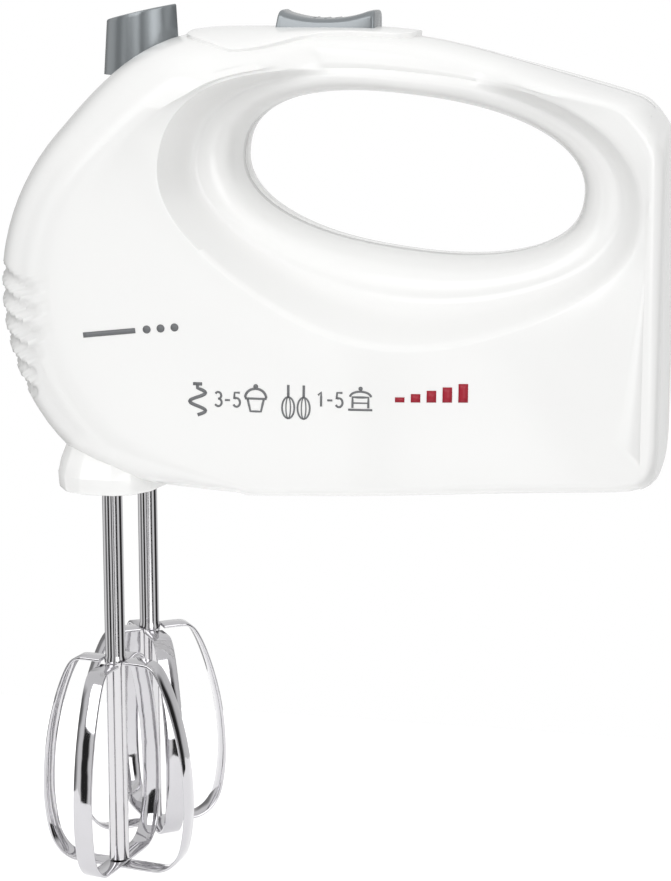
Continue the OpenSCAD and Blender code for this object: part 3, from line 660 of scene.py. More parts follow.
@dataclass
class Housing:
    """The two shells, the heel plate, the handle cover and the socket housing."""

    shape: BodyShape
    white: bpy.types.Material
    wall: float = 2.2
    heel_t: float = 4.0
    # Rings of the heel plate: where the body is cut, where the ring stands, and how far it is drawn in;
    # the first ones lap just over the shells' cut edge
    heel_rings: tuple[tuple[float, float, float], ...] = (
        (-4.7, -4.7, 0.6), (-4.7, -4.7, -0.08), (-4.0, -4.0, -0.06), (-3.2, -3.2, 0.0), (-2.4, -2.4, 0.05),
        (-1.7, -1.7, 0.35), (-1.7, -1.0, 1.0), (-1.7, -0.5, 1.9), (-1.7, -0.15, 3.0), (-1.7, 0.0, 4.5))
    section_steps: int = 120
    cover_rear: float = -71.5
    cover_front: float = -136.0
    cover_lift: float = 1.5
    cover_t: float = 2.4
    cover_edge: float = 0.7
    # How far the cover reaches down each side, and how it flares towards the button
    cover_reach: float = 10.4
    cover_flare: float = 19.0
    flare_from_x: float = -86.0
    flare_span: float = 48.0
    flare_power: float = 1.25
    # One quarter of the socket boss's outline, as shares of its half sizes
    boss_corner: tuple[tuple[float, float], ...] = ((1.0, 0.45), (0.88, 0.74), (0.62, 0.93), (0.30, 1.0))
    boss_facet: float = 0.7
    parts: dict[str, bpy.types.Object] = field(default_factory=dict)

    def shell(self, side: Side) -> None:
        """Builds one shell from rings around the opening, cut flat at the heel and given its wall.

        Args:
            side: The shell.
        """
        work = bmesh.new()
        rays = self.shape.rays()
        profiles = [self.shape.profile(th) for th in rays]
        rings = [[self.shape.place(th, *profiles[k][i], side) for k, th in enumerate(rays)]
                 for i in range(len(profiles[0]))]
        loft(work, rings)
        bmesh.ops.bisect_plane(work, geom=work.verts[:] + work.edges[:] + work.faces[:], dist=0.001,
                               plane_co=(-self.heel_t, 0, 0), plane_no=(1, 0, 0), clear_outer=True)
        bmesh.ops.recalc_face_normals(work, faces=work.faces)
        probe = max(work.faces, key=lambda f: abs(f.calc_center_median().y))
        if probe.normal.y * side.value < 0:
            bmesh.ops.reverse_faces(work, faces=work.faces)
        name = side.name.lower() + "_housing"
        thing = Piece(name + "_skin", "housing", "white_plastic", (name,), (self.white,)).finish(
            work, smooth_angle=50, outward=False)
        thick = thing.modifiers.new("wall", "SOLIDIFY")
        thick.thickness = self.wall * MM
        thick.offset = -1
        self.parts[name] = thing

    def heel(self) -> None:
        """Builds the heel plate, a round-cornered plate with a soft outer edge."""
        rings = []
        for cut, x, inset in self.heel_rings:
            edge = self.section(cut)
            low, high = min(p.z for p in edge), max(p.z for p in edge)
            mid, half_h, half_w = (low + high) / 2, (high - low) / 2, max(abs(p.y) for p in edge)
            rings.append([Vector((x, p.y * (1 - inset / half_w), mid + (p.z - mid) * (1 - inset / half_h)))
                          for p in edge])
        work = bmesh.new()
        loft(work, rings)
        cap(work)
        self.parts["heel"] = Piece("heel_plate", "housing", "white_plastic", ("heel_cover",),
                                   (self.white,)).finish(work)

    def section(self, x: float) -> list[Vector]:
        """The closed outline of the shells where a plane of constant x cuts them.

        Args:
            x: The plane's place.

        Returns:
            Points round the outline, first down the left side and then up the right.
        """
        shape, points = self.shape, []
        low, high = shape.edge_angle(x, -75.0), shape.edge_angle(x, 45.0)
        for i in range(1, self.section_steps):
            th = mix(low, high, 0.5 - 0.5 * math.cos(math.pi * i / self.section_steps))
            c = math.cos(math.radians(th))
            profile = shape.profile(th)
            for (r_a, y_a), (r_b, y_b) in zip(profile, profile[1:]):
                x_a, x_b = shape.hole_x + r_a * c, shape.hole_x + r_b * c
                if x_a < x <= x_b:
                    u = (x - x_a) / (x_b - x_a)
                    z = shape.hole_z + mix(r_a, r_b, u) * math.sin(math.radians(th))
                    points.append((mix(y_a, y_b, u), z))
                    break
        return [Vector((x, -y, z)) for y, z in points[::-1]] + [Vector((x, y, z)) for y, z in points]

    def cover(self) -> None:
        """Builds the handle cover as a panel that hugs the top of the shells."""
        shape = self.shape
        angles = [th for th in (k * 1.0 for k in range(60, 160))
                  if self.cover_front < shape.hole_x + shape.outline(th) * math.cos(math.radians(th))
                  < self.cover_rear]
        work = bmesh.new()
        rows = []
        for th in angles:
            x = shape.hole_x + shape.outline(th) * math.cos(math.radians(th))
            flare = ease((self.flare_from_x - x) / self.flare_span) ** self.flare_power
            reach = self.cover_reach + self.cover_flare * flare
            tip = math.sqrt(clamp01((x - self.cover_front) / 10)) * math.sqrt(clamp01((self.cover_rear - x) / 5))
            reach = max(1.0, reach * mix(0.35, 1.0, tip))
            steps = [k / 8 for k in range(9)]
            near = [shape.below_top(th, reach * s, Side.LEFT, self.cover_lift) for s in steps[::-1]]
            far = [shape.below_top(th, reach * s, Side.RIGHT, self.cover_lift) for s in steps[1:]]
            rows.append(near + far)
        loft(work, rows, closed=False)
        bmesh.ops.recalc_face_normals(work, faces=work.faces)
        if sum(f.normal.z for f in work.faces) < 0:
            bmesh.ops.reverse_faces(work, faces=work.faces)
        thing = Piece("handle_top_cover", "housing", "white_plastic", ("handle_cover",), (self.white,)).finish(
            work, outward=False)
        thick = thing.modifiers.new("wall", "SOLIDIFY")
        thick.thickness = self.cover_t * MM
        thick.offset = -1
        edge = thing.modifiers.new("edge", "BEVEL")
        edge.width, edge.segments, edge.limit_method = self.cover_edge * MM, 3, "ANGLE"
        edge.angle_limit = math.radians(45)
        self.parts["cover"] = thing

    def sockets(self) -> None:
        """Builds the socket housing: a low boss with flat facets at its corners, pierced by two sockets."""
        low, high = (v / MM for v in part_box("socket_housing"))
        mid_x, half_x, half_y = (low.x + high.x) / 2, (high.x - low.x) / 2, (high.y - low.y) / 2
        outline = []
        for sx, sy in ((1, 1), (-1, 1), (-1, -1), (1, -1)):
            corners = self.boss_corner if sx * sy > 0 else self.boss_corner[::-1]
            outline += [Vector((mid_x + sx * half_x * a, sy * half_y * b, 0)) for a, b in corners]
        work = bmesh.new()
        rings = []
        for z, grow in ((high.z + 3, 0.80), (low.z + 9, 0.93), (low.z + 5, 0.975), (low.z + 1.2, 0.965),
                        (low.z + 0.35, 0.95), (low.z, 0.92)):
            rings.append([Vector((mid_x + (p.x - mid_x) * grow, p.y * grow, z)) for p in outline])
        loft(work, rings)
        cap(work)
        vertical = [e for e in work.edges if abs(e.verts[0].co.z - e.verts[1].co.z) > 2]
        bmesh.ops.bevel(work, geom=vertical, offset=self.boss_facet, affect="EDGES", segments=2, profile=0.5,
                        material=-1)
        self.parts["sockets"] = Piece("socket_boss", "housing", "white_plastic", ("socket_housing",),
                                      (self.white,)).finish(self.with_collars(work, low.z), smooth_angle=25)

    def socket_axis(self, sy: int) -> Vector:
        """The middle of one beater's shaft."""
        low, high = (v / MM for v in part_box("left_beater_shaft" if sy < 0 else "right_beater_shaft"))
        return (low + high) / 2

    def with_collars(self, work: bmesh.types.BMesh, z: float) -> bmesh.types.BMesh:
        """Gives each socket a short raised collar around the beater's shaft.

        Args:
            work: The boss.
            z: Height of the boss's lower face.

        Returns:
            The same bmesh.
        """
        for sy in (-1, 1):
            axis = self.socket_axis(sy)
            section = ((3.2, z + 4), (3.2, z - 0.4), (3.5, z - 0.75), (4.6, z - 0.75), (5.1, z - 0.4), (5.2, z + 2))
            loft(work, [circle(axis, r, h, 40) for r, h in section], loop=True)
        return work

    def build(self) -> None:
        """Builds every piece of the housing."""
        for side in Side:
            self.shell(side)
        self.heel()
        self.cover()
        self.sockets()


# ---------------------------------------------------------------- controls


@dataclass
class Controls:
    """The eject button and the saddle-shaped speed slider on top of the handle."""

    silver: bpy.types.Material
    slope: float = 0.226
    top_z: float = 76.3
    base_z: float = 58.3
    button_grow: float = 1.5
    thumb_hollow: float = 2.3
    end_lean: float = 1.6
    slider_steps: int = 26
    arch_steps: int = 12
    # Rings of the button: its share of the outline and how far it lies under the top; none is the base
    button_rings: tuple[tuple[float, float | None], ...] = (
        (1.05, None), (0.955, 1.2), (0.95, 0.5), (0.935, 0.15), (0.9, 0.0), (0.6, -0.12), (0.3, -0.18),
        (0.08, -0.2))

    def button(self) -> None:
        """Builds the eject button: a pointed lens with a crowned, sloping top."""
        low, high = (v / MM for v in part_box("eject_button"))
        mid_x, half_l = (low.x + high.x) / 2, (high.x - low.x) / 2
        half_w = (high.y - low.y) / 2 + self.button_grow
        radius = (half_l ** 2 + half_w ** 2) / (2 * half_w)
        outline = []
        for side in (1, -1):
            for k in range(24):
                x = side * half_l * math.cos(math.pi * k / 24)
                outline.append(Vector((x, side * (half_w - radius + math.sqrt(radius ** 2 - x ** 2)), 0)))
        rings = []
        for grow, drop in self.button_rings:
            top = [self.top_z + self.slope * p.x * grow - (drop or 0.0) for p in outline]
            rings.append([Vector((mid_x + p.x * grow, p.y * grow, self.base_z if drop is None else z))
                          for p, z in zip(outline, top)])
        work = bmesh.new()
        loft(work, rings)
        cap(work)
        Piece("eject_button_cap", "ejector", "grey_plastic", ("eject_button",), (self.silver,)).finish(work, 30)

    def slider(self) -> None:
        """Builds the speed slider: rounded, with a thumb hollow along its length."""
        low, high = (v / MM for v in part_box("speed_slider"))
        mid_x, half_l, half_y = (low.x + high.x) / 2, (high.x - low.x) / 2, (high.y - low.y) / 2
        rings = []
        for k in range(self.slider_steps + 1):
            u = -1 + 2 * k / self.slider_steps
            x = mid_x + half_l * u
            top = high.z - self.thumb_hollow * (1 - min(1.0, abs(u) * 1.12) ** 2.2)
            lean = self.end_lean * clamp01((-0.8 - u) / 0.2)
            half = half_y * (1 - 0.06 * abs(u) ** 3)
            floor = high.z - 6.5
            rows = []
            for j in range(self.arch_steps + 1):
                a = math.pi * j / self.arch_steps
                c, s = math.cos(a), math.sin(a)
                rows.append(Vector((x + lean * abs(s) ** 0.3, half * math.copysign(abs(c) ** 0.42, c),
                                    floor + (top - floor) * abs(s) ** 0.3)))
            rows += [Vector((x, -half, floor - 1.0)), Vector((x, half, floor - 1.0))]
            rings.append(rows)
        work = bmesh.new()
        loft(work, rings)
        cap(work)
        ends = [e for e in work.edges if len(e.link_faces) == 2
                and any(len(f.verts) > 4 for f in e.link_faces)]
        bmesh.ops.bevel(work, geom=ends, offset=0.5, affect="EDGES", segments=3, profile=0.5, material=-1,
                        clamp_overlap=True)
        for k in (-1, 0, 1):
            self.rib(work, mid_x + 3.2 * k, high.z - 2.5 + 0.1 * k * k, half_y * 0.62)
        Piece("speed_slider_knob", "speed_control", "grey_plastic", ("speed_slider",),
              (self.silver,)).finish(work, 35)

    def rib(self, work: bmesh.types.BMesh, x: float, z: float, half: float) -> None:
        """Adds one low rounded grip rib across the slider.

        Args:
            work: The slider.
            x: The rib's place along the slider.
            z: Height of the hollow under it.
            half: Half of the rib's length.
        """
        rings = []
        turns = [math.tau * j / 12 for j in range(12)]
        for y, size in ((-half, 0.15), (-half + 0.5, 0.45), (half - 0.5, 0.45), (half, 0.15)):
            rings.append([Vector((x + size * math.cos(a), y, z - 0.1 + size * math.sin(a))) for a in turns])
        loft(work, rings)
        cap(work)

    def build(self) -> None:
        """Builds both controls."""
        self.button()
        self.slider()


# ---------------------------------------------------------------- beaters


@dataclass
class Beater:
    """One beater: a shaft, two strip loops welded to it, and the rivet that holds them at the foot."""

    side: Side
    chrome: bpy.types.Material
    rod: bpy.types.Material
    turn: float
    strip_w: float = 6.0
    strip_t: float = 0.9
    shaft_r: float = 3.0
    radius: float = 24.0
    height: float = 65.0
    lug_size: tuple[float, float, float] = (8.3, 2.0, 5.0)
    lug_z: float = -48.0
    half_outline: tuple[tuple[float, float], ...] = (
        (0.50, 0), (0.66, 0.008), (0.80, 0.04), (0.91, 0.10), (0.97, 0.19), (1, 0.31), (0.985, 0.46),
        (0.93, 0.61), (0.84, 0.75), (0.73, 0.87), (0.62, 0.955), (0.52, 0.992), (0.40, 1), (0.17, 1))

    def tag(self) -> str:
        """The name of the side, in small letters."""
        return self.side.name.lower()

    def axis(self) -> tuple[Vector, Vector]:
        """Finds the shaft's axis from the CAD node.

        Returns:
            Its foot and its top, in millimetres.
        """
        low, high = (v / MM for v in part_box(f"{self.tag()}_beater_shaft"))
        mid_x, mid_y = (low.x + high.x) / 2, (low.y + high.y) / 2
        return Vector((mid_x, mid_y, low.z)), Vector((mid_x, mid_y, high.z))

    def foot(self) -> float:
        """Height of the cage's lowest strip."""
        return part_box(f"{self.tag()}_beater_loop_a")[0].z / MM

    def path(self, inset: float) -> list[Vector]:
        """The middle line of a loop in its own plane, from weld to weld.

        Args:
            inset: How far the loop lies inside the outer one.

        Returns:
            Points with x across the cage and z up.
        """
        z0 = self.foot() + self.strip_t / 2 + inset
        pts = [(0.0, 0.0)] + list(self.half_outline)
        fine: list[Vector] = []
        for i in range(len(pts) - 1):
            a, b, c, d = (Vector(pts[max(0, min(len(pts) - 1, i + k))]) for k in (-1, 0, 1, 2))
            for k in range(6):
                t = k / 6
                fine.append(0.5 * (2 * b + (c - a) * t + (2 * a - 5 * b + 4 * c - d) * t * t
                                   + (3 * b - a - 3 * c + d) * t ** 3))
        fine.append(Vector(pts[-1]))
        reach, rise = self.radius - self.strip_t / 2 - inset, self.height - self.strip_t - 2 * inset
        half = [Vector((p.x * reach, 0, z0 + p.y * rise)) for p in fine]
        half = [p for p in half if p.x > self.shaft_r - 1.2 or p.z < z0 + rise / 2]
        return [Vector((-p.x, 0, p.z)) for p in half[:0:-1]] + half

    def loop(self, second: bool) -> None:
        """Sweeps one strip with rounded edges around its loop.

        Args:
            second: Whether this is the loop that lies inside the other one.
        """
        inset = self.strip_t + 0.05 if second else 0.0
        line = self.path(inset)
        line = [p for i, p in enumerate(line) if i == 0 or (p - line[i - 1]).length > 0.02]
        foot, _ = self.axis()
        turn = Matrix.Rotation(math.radians(self.turn + (90 if second else 0)), 3, "Z")
        w, t, r = self.strip_w / 2, self.strip_t / 2, 0.28
        section = ((-w + r, -t), (w - r, -t), (w - 0.08, -t + 0.1), (w, -t + r), (w, t - r), (w - 0.08, t - 0.1),
                   (w - r, t), (-w + r, t), (-w + 0.08, t - 0.1), (-w, t - r), (-w, -t + r), (-w + 0.08, -t + 0.1))
        rings = []
        for i, point in enumerate(line):
            ahead = (line[min(i + 1, len(line) - 1)] - line[max(i - 1, 0)]).normalized()
            out = Vector((ahead.z, 0, -ahead.x))
            places = [point + Vector((0, a, 0)) + out * b for a, b in section]
            rings.append([turn @ q + Vector((foot.x, foot.y, 0)) for q in places])
        work = bmesh.new()
        loft(work, rings)
        cap(work)
        letter = "b" if second else "a"
        Piece(f"{self.tag()}_beater_strip_{letter}", f"{self.tag()}_beater", "chrome",
              (f"{self.tag()}_beater_loop_{letter}",), (self.chrome,)).finish(work, 30)

    def lathe(self, work: bmesh.types.BMesh, middle: Vector, section: list[tuple[float, float]],
              count: int) -> None:
        """Adds a round piece from pairs of radius and height."""
        loft(work, [circle(middle, r, z, count) for r, z in section])

    def shaft(self) -> None:
        """Builds the shaft with its chamfered top, its two drive lugs and a weld bead over the strips."""
        foot, top = self.axis()
        r, weld = self.shaft_r, self.foot() + self.height
        work = bmesh.new()
        self.lathe(work, foot, [(r * 0.6, foot.z), (r, foot.z + 0.4), (r, weld - 2.2), (r + 0.25, weld - 1.4),
                                (r + 0.3, weld), (r + 0.1, weld + 0.8), (r, weld + 1.3), (r, top.z - 1.2),
                                (r - 0.9, top.z)], 40)
        cap(work)
        lug = bmesh.ops.create_cube(work, size=1.0)["verts"]
        bmesh.ops.scale(work, vec=self.lug_size, verts=lug)
        bmesh.ops.rotate(work, cent=(0, 0, 0), matrix=Matrix.Rotation(math.radians(self.turn), 3, "Z"), verts=lug)
        bmesh.ops.translate(work, vec=(foot.x, foot.y, self.lug_z), verts=lug)
        Piece(f"{self.tag()}_beater_rod", f"{self.tag()}_beater", "chrome", (f"{self.tag()}_beater_shaft",),
              (self.rod,)).finish(work, 35)

    def rivet(self) -> None:
        """Builds the rivet: a domed head under the crossing and its shank inside the shaft."""
        foot, _ = self.axis()
        z = self.foot()
        work = bmesh.new()
        self.lathe(work, foot, [(0.5, z - 0.8), (1.4, z - 0.7), (2.0, z - 0.42), (2.4, z), (1.4, z), (1.4, z + 6.5),
                                (1.0, z + 6.8)], 32)
        cap(work)
        Piece(f"{self.tag()}_beater_rivet_head", f"{self.tag()}_beater", "steel", (f"{self.tag()}_beater_rivet",),
              (self.chrome,)).finish(work, 35)

    def build(self) -> None:
        """Builds the whole beater."""
        self.shaft()
        self.loop(False)
        self.loop(True)
        self.rivet()


# ---------------------------------------------------------------- printed marks


Stroke = tuple[list[tuple[float, float]], float, bool]


@dataclass
class Prints:
    """The pad-printed marks on the left shell: simple tool pictures, speed ranges and a plain trim mark."""

    shell: bpy.types.Object
    grey: bpy.types.Material
    red: bpy.types.Material
    lift: float = 0.05
    thick: float = 0.04

    def surface(self) -> BVHTree:
        """Makes a search tree of the shell's outer skin.

        Returns:
            The tree, in metres.
        """
        work = bmesh.new()
        work.from_mesh(self.shell.data)
        tree = BVHTree.FromBMesh(work)
        work.free()
        return tree

    def stroke(self, work: bmesh.types.BMesh, tree: BVHTree, points: list[tuple[float, float]], width: float,
               closed: bool = False) -> None:
        """Adds one printed line of even width, laid on the shell.

        Args:
            work: The bmesh to add to, in millimetres.
            tree: The shell's search tree.
            points: The line's points, x and z.
            width: The line's width.
            closed: Whether the line returns to its start.
        """
        line = [Vector((x, 0, z)) for x, z in points]
        fine: list[Vector] = []
        pairs = list(zip(line, line[1:] + line[:1])) if closed else list(zip(line, line[1:]))
        for a, b in pairs:
            steps = max(1, int((b - a).length / 1.2))
            fine += [a.lerp(b, k / steps) for k in range(steps)]
        if not closed:
            fine.append(line[-1])
        count = len(fine)
        left, right = [], []
        for i, p in enumerate(fine):
            before = fine[(i - 1) % count] if closed else fine[max(0, i - 1)]
            after = fine[(i + 1) % count] if closed else fine[min(count - 1, i + 1)]
            d = (after - before).normalized()
            normal = Vector((d.z, 0, -d.x)) * width / 2
            left.append(self.on_shell(tree, p - normal))
            right.append(self.on_shell(tree, p + normal))
        first, second = ring(work, left, closed), ring(work, right, closed)
        bmesh.ops.bridge_loops(work, edges=first + second)

    def on_shell(self, tree: BVHTree, point: Vector) -> Vector:
        """Drops a point onto the shell's side, along +Y.

        Args:
            tree: The shell's search tree.
            point: The point, in millimetres; its y is not used.

        Returns:
            The place just above the skin, in millimetres.
        """
        hit, normal, _, _ = tree.ray_cast(Vector((point.x * MM, -0.1, point.z * MM)), Vector((0, 1, 0)))
        if hit is None:
            return Vector((point.x, -40, point.z))
        return (hit + normal * self.lift * MM) / MM

    def disc(self, work: bmesh.types.BMesh, tree: BVHTree, x: float, z: float, radius: float) -> None:
        """Adds one printed dot, as a ring so wide that it closes.

        Args:
            work: The bmesh to add to, in millimetres.
            tree: The shell's search tree.
            x: Middle of the dot along the mixer.
            z: Height of its middle.
            radius: Its radius.
        """
        turns = [math.tau * k / 20 for k in range(20)]
        points = [(x + radius / 2 * math.cos(a), z + radius / 2 * math.sin(a)) for a in turns]
        self.stroke(work, tree, points, radius, closed=True)

    def mark(self, name: str, material: bpy.types.Material, strokes: list[Stroke],
             dots: tuple[tuple[float, float, float], ...] = ()) -> None:
        """Builds one printed mark from its strokes and dots.

        Args:
            name: The piece's name.
            material: Its ink.
            strokes: Points, width and whether closed, for each stroke.
            dots: x, z and radius of each dot.
        """
        tree = self.surface()
        work = bmesh.new()
        for points, width, closed in strokes:
            self.stroke(work, tree, points, width, closed)
        for x, z, radius in dots:
            self.disc(work, tree, x, z, radius)
        bmesh.ops.recalc_face_normals(work, faces=work.faces)
        turned = [f for f in work.faces if f.normal.y > 0]
        bmesh.ops.reverse_faces(work, faces=turned)
        thing = Piece(name, "housing", "grey_plastic", (), (material,)).finish(work, outward=False)
        film = thing.modifiers.new("film", "SOLIDIFY")
        film.thickness = self.thick * MM
        film.offset = 1

    def arc(self, x: float, z: float, rx: float, rz: float, start: float, end: float, count: int = 14
            ) -> list[tuple[float, float]]:
        """Points along part of an ellipse, angles in degrees."""
        return [(x + rx * math.cos(math.radians(mix(start, end, k / count))),
                 z + rz * math.sin(math.radians(mix(start, end, k / count)))) for k in range(count + 1)]

    def digits(self, text: str, x: float, z: float, height: float) -> list[Stroke]:
        """Strokes of a short row of digits and dashes.

        Args:
            text: The digits 1, 3 and 5 and the dash.
            x: Left edge of the first digit.
            z: Foot of the digits.
            height: Height of a digit.

        Returns:
            The strokes.
        """
        strokes: list[Stroke] = []
        w, h = height * 0.52, height
        for letter in text:
            if letter == "1":
                flag_and_stem = [(x + w * 0.15, z + h * 0.78), (x + w * 0.55, z + h), (x + w * 0.55, z)]
                strokes.append((flag_and_stem, 0.6, False))
            elif letter == "-":
                strokes.append(([(x + w * 0.1, z + h * 0.45), (x + w * 0.8, z + h * 0.45)], 0.55, False))
            elif letter == "3":
                strokes.append((self.arc(x + w * 0.45, z + h * 0.76, w * 0.42, h * 0.24, 150, -90), 0.6, False))
                strokes.append((self.arc(x + w * 0.45, z + h * 0.27, w * 0.48, h * 0.27, 90, -150), 0.6, False))
            elif letter == "5":
                flag = [(x + w * 0.88, z + h), (x + w * 0.16, z + h), (x + w * 0.1, z + h * 0.55)]
                strokes.append((flag, 0.6, False))
                strokes.append((self.arc(x + w * 0.42, z + h * 0.31, w * 0.48, h * 0.31, 120, -150), 0.6, False))
            x += w * 1.28
        return strokes

    def build(self) -> None:
        """Prints every mark."""
        hook = [(-127.6, -25.2)] + [(-127.6 + 2.3 * math.sin(math.tau * 1.5 * k / 24), -26.4 - 7.6 * k / 24)
                                    for k in range(25)]
        self.mark("print_dough_hook", self.grey,
                  [(hook, 0.95, False), ([(-128.9, -25.2), (-126.3, -25.2)], 0.9, False)])
        cake = [([(-113.2, -29.0), (-112.4, -32.4), (-109.4, -32.4), (-108.6, -29.0)], 0.6, False),
                (self.arc(-110.9, -28.6, 3.0, 2.6, 0, 180), 0.7, False),
                ([(-114.0, -28.8), (-107.8, -28.8)], 0.6, False)]
        self.mark("print_small_cake", self.grey, cake, ((-110.9, -25.4, 0.7),))
        whisks = []
        for x in (-101.6, -97.2):
            whisks.append((self.arc(x, -31.0, 1.75, 3.0, 0, 360, 22)[:-1], 0.5, True))
            whisks.append((self.arc(x, -31.0, 0.65, 3.0, 0, 360, 18)[:-1], 0.35, True))
            whisks.append(([(x, -28.1), (x, -24.6)], 0.7, False))
        self.mark("print_whisks", self.grey, whisks)
        tart = [([(-84.6, -30.9), (-77.9, -30.9)], 0.6, False),
                ([(-83.4, -30.4), (-83.4, -27.4), (-79.0, -27.4), (-79.0, -30.4)], 0.6, False),
                (self.arc(-81.2, -27.3, 2.9, 1.5, 0, 180), 0.6, False),
                ([(-83.2, -29.0), (-79.2, -29.0)], 0.4, False)]
        self.mark("print_tart", self.grey, tart, ((-81.2, -25.0, 0.6),))
        self.mark("print_range_high", self.grey, self.digits("3-5", -122.6, -31.3, 4.0))
        self.mark("print_range_low", self.grey, self.digits("1-5", -93.4, -30.3, 4.0))
        bars = [([(-70.4 + 4.3 * k, -28.6), (-70.4 + 4.3 * k, -27.2 + 0.95 * k)], 2.6, False) for k in range(5)]
        self.mark("print_power_bars", self.red, bars)
        self.mark("print_trim", self.grey, [([(-160.6, -12.4), (-145.5, -10.7)], 1.5, False)],
                  ((-142.2, -10.3, 1.15), (-138.2, -9.9, 1.15), (-134.2, -9.5, 1.15)))


# ---------------------------------------------------------------- studio


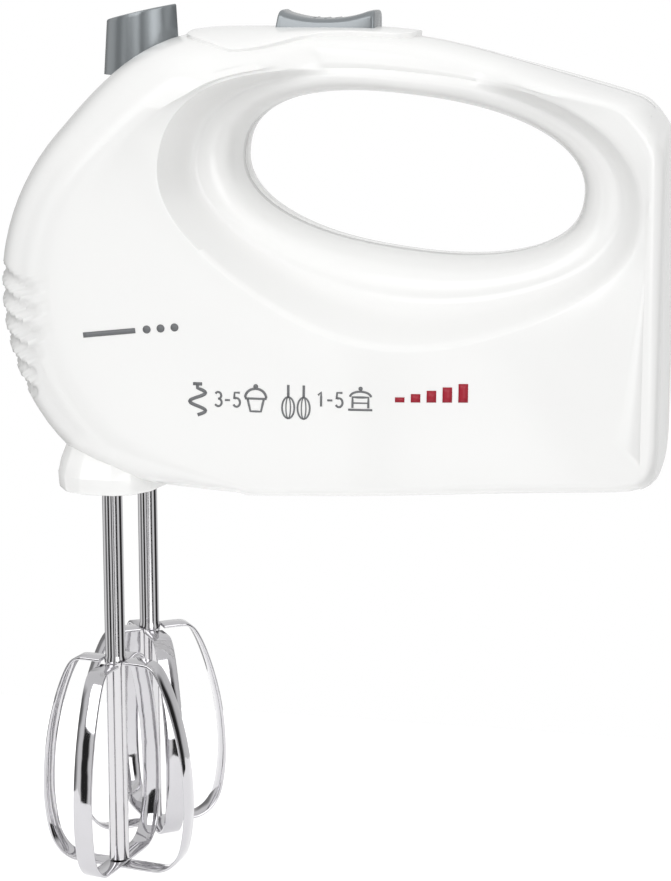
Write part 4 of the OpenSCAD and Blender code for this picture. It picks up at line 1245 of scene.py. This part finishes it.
@dataclass
class Studio:
    """A plain pale floor, a white surround, soft lights, and the camera."""

    azimuth: float = 12.0
    elevation: float = 12.0
    distance_mm: float = 700.0
    target_mm: tuple[float, float, float] = (-95.8, 0.0, -47.6)
    lens: float = 97.25
    # The floor in metres, just under the beaters when they are pushed out
    floor_x: tuple[float, float] = (-0.32, 0.04)
    floor_half: float = 0.16
    floor_z: float = -0.1885
    # Screens that the chrome and the gloss reflect: share of a full turn from -X, and brightness
    screens: tuple[tuple[float, float], ...] = (
        (0.01, 0.9), (0.04, 0.15), (0.08, 0.2), (0.10, 1.0), (0.125, 1.0), (0.135, 0.03), (0.185, 0.03),
        (0.20, 1.0), (0.235, 1.0), (0.245, 0.04), (0.27, 0.04), (0.28, 1.0), (0.30, 1.0), (0.31, 0.06),
        (0.325, 0.06), (0.335, 1.0), (0.37, 1.0), (0.385, 0.03), (0.43, 0.03), (0.445, 0.9), (0.50, 0.95),
        (0.52, 0.03), (0.60, 0.03), (0.63, 0.8), (0.80, 0.9), (0.84, 0.25), (0.90, 0.3), (0.93, 0.9))

    def camera(self) -> None:
        """Places the camera on the left side, slightly behind and above."""
        data = bpy.data.cameras.new("camera")
        data.lens = self.lens
        data.clip_start, data.clip_end = 0.01, 50
        thing = bpy.data.objects.new("camera", data)
        a, e = math.radians(self.azimuth), math.radians(self.elevation)
        away = Vector((math.sin(a) * math.cos(e), -math.cos(a) * math.cos(e), math.sin(e)))
        thing.location = (Vector(self.target_mm) + away * self.distance_mm) * MM
        thing.rotation_euler = away.to_track_quat("Z", "Y").to_euler()
        bpy.context.scene.collection.objects.link(thing)
        bpy.context.scene.camera = thing

    def surround(self) -> None:
        """Makes the world: plain white behind the mixer, and upright light and dark screens round it to reflect."""
        world = bpy.data.worlds.new("surround")
        bpy.context.scene.world = world
        world.use_nodes = True
        tree = world.node_tree
        tree.nodes.clear()
        place = add_node(tree, "ShaderNodeTexCoord")
        split = add_node(tree, "ShaderNodeSeparateXYZ", links={0: place.outputs["Generated"]})
        turn = add_node(tree, "ShaderNodeMath", links={0: split.outputs["Y"], 1: split.outputs["X"]},
                        operation="ARCTAN2")
        share = add_node(tree, "ShaderNodeMapRange", {"From Min": -math.pi, "From Max": math.pi},
                         {"Value": turn.outputs[0]})
        bands = add_node(tree, "ShaderNodeValToRGB", links={0: share.outputs[0]})
        ramp = bands.color_ramp
        for place_at, level in self.screens:
            stop = ramp.elements.new(place_at)
            stop.color = (level, level, level, 1)
        ramp.elements.remove(ramp.elements[0])
        up = add_node(tree, "ShaderNodeMapRange",
                      {"From Min": -0.2, "From Max": 0.7, "To Min": 0.96, "To Max": 0.88},
                      {"Value": split.outputs["Z"]})
        high = add_node(tree, "ShaderNodeMapRange", {"From Min": 0.25, "From Max": 0.5},
                        {"Value": split.outputs["Z"]})
        open_sky = add_node(tree, "ShaderNodeMix", {7: (1, 1, 1, 1)}, {0: high.outputs[0], 6: bands.outputs[0]},
                            data_type="RGBA")
        soft = add_node(tree, "ShaderNodeBackground",
                        links={"Color": open_sky.outputs[2], "Strength": up.outputs[0]})
        seen = add_node(tree, "ShaderNodeBackground", {"Color": (1, 1, 1, 1), "Strength": 1.0})
        path = add_node(tree, "ShaderNodeLightPath")
        both = add_node(tree, "ShaderNodeMixShader", links={0: path.outputs["Is Camera Ray"], 1: soft.outputs[0],
                                                           2: seen.outputs[0]})
        add_node(tree, "ShaderNodeOutputWorld", links={0: both.outputs[0]})

    def light(self, name: str, place: tuple[float, float, float], size: tuple[float, float], power: float) -> None:
        """Adds one rectangular soft light aimed at the mixer.

        Args:
            name: The light's name.
            place: Its place in metres.
            size: Its width and height in metres.
            power: Its power in watts.
        """
        data = bpy.data.lights.new(name, "AREA")
        data.shape, data.size, data.size_y, data.energy = "RECTANGLE", size[0], size[1], power
        thing = bpy.data.objects.new(name, data)
        thing.location = place
        thing.rotation_euler = (Vector(place) - Vector((-0.1, 0, -0.03))).to_track_quat("Z", "Y").to_euler()
        bpy.context.scene.collection.objects.link(thing)

    def card(self, name: str, corners: list[tuple[float, float, float]], colour: str, glow: float) -> None:
        """Adds one flat stage card, plain and matt.

        Args:
            name: The card's name.
            corners: Its four corners in metres.
            colour: Its sRGB hex colour.
            glow: Its own light, as a share of white.
        """
        work = bmesh.new()
        face = work.faces.new([work.verts.new(c) for c in corners])
        face.normal_update()
        mesh = bpy.data.meshes.new(name)
        work.to_mesh(mesh)
        work.free()
        material = bpy.data.materials.new(name)
        material.use_nodes = True
        tree = material.node_tree
        tree.nodes.clear()
        shader = add_node(tree, "ShaderNodeBsdfPrincipled",
                          {"Base Color": linear(colour), "Roughness": 0.9, "Emission Color": (1, 1, 1, 1),
                           "Emission Strength": glow})
        add_node(tree, "ShaderNodeOutputMaterial", links={0: shader.outputs[0]})
        mesh.materials.append(material)
        thing = bpy.data.objects.new(name, mesh)
        bpy.context.scene.collection.objects.link(thing)

    def build(self) -> None:
        """Sets up the whole studio."""
        self.camera()
        self.surround()
        (x0, x1), y1, z = self.floor_x, self.floor_half, self.floor_z
        self.card("floor", [(x0, -y1, z), (x1, -y1, z), (x1, y1, z), (x0, y1, z)], "f4f4f4", 0.4)
        self.light("key", (-0.8, -1.5, 0.7), (1.1, 1.1), 9.2)
        self.light("fill", (1.0, -1.4, 0.3), (1.2, 1.2), 9.6)
        self.light("top", (0.1, 0.4, 1.6), (1.4, 1.0), 0.6)


# ---------------------------------------------------------------- the mixer


@dataclass
class Inner:
    """The carried-over CAD nodes: each gets the real finish of its material slot."""

    finishes: dict[str, bpy.types.Material]

    def dress(self) -> None:
        """Gives every CAD node its material."""
        slots = {part["node"]: part["material_slot"] for part in frame["record"]["subparts"]}
        for name, node in frame["nodes"].items():
            node.data.materials.clear()
            node.data.materials.append(self.finishes[slots[name]])
            LOG.info("%s: CAD node, %s", name, slots[name])


def main() -> None:
    """Builds the mixer and its studio, piece by piece."""
    logging.basicConfig(level=logging.INFO, format="%(name)s %(message)s")
    finishes = {slot: finish.build() for slot, finish in INNER_FINISHES.items()}
    Studio().build()
    Inner(finishes).dress()
    housing = Housing(BodyShape(), finishes["white_plastic"])
    housing.build()
    Controls(finishes["grey_plastic"]).build()
    rod = CHROME_ROD.build()
    Beater(Side.LEFT, finishes["chrome"], rod, -10).build()
    Beater(Side.RIGHT, finishes["chrome"], rod, 35).build()
    Prints(housing.parts["left_housing"], GREY_INK.build(), RED_INK.build()).build()


if __name__ == "__main__":
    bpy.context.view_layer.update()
    bpy.context.scene.view_settings.view_transform = "Standard"
    main()
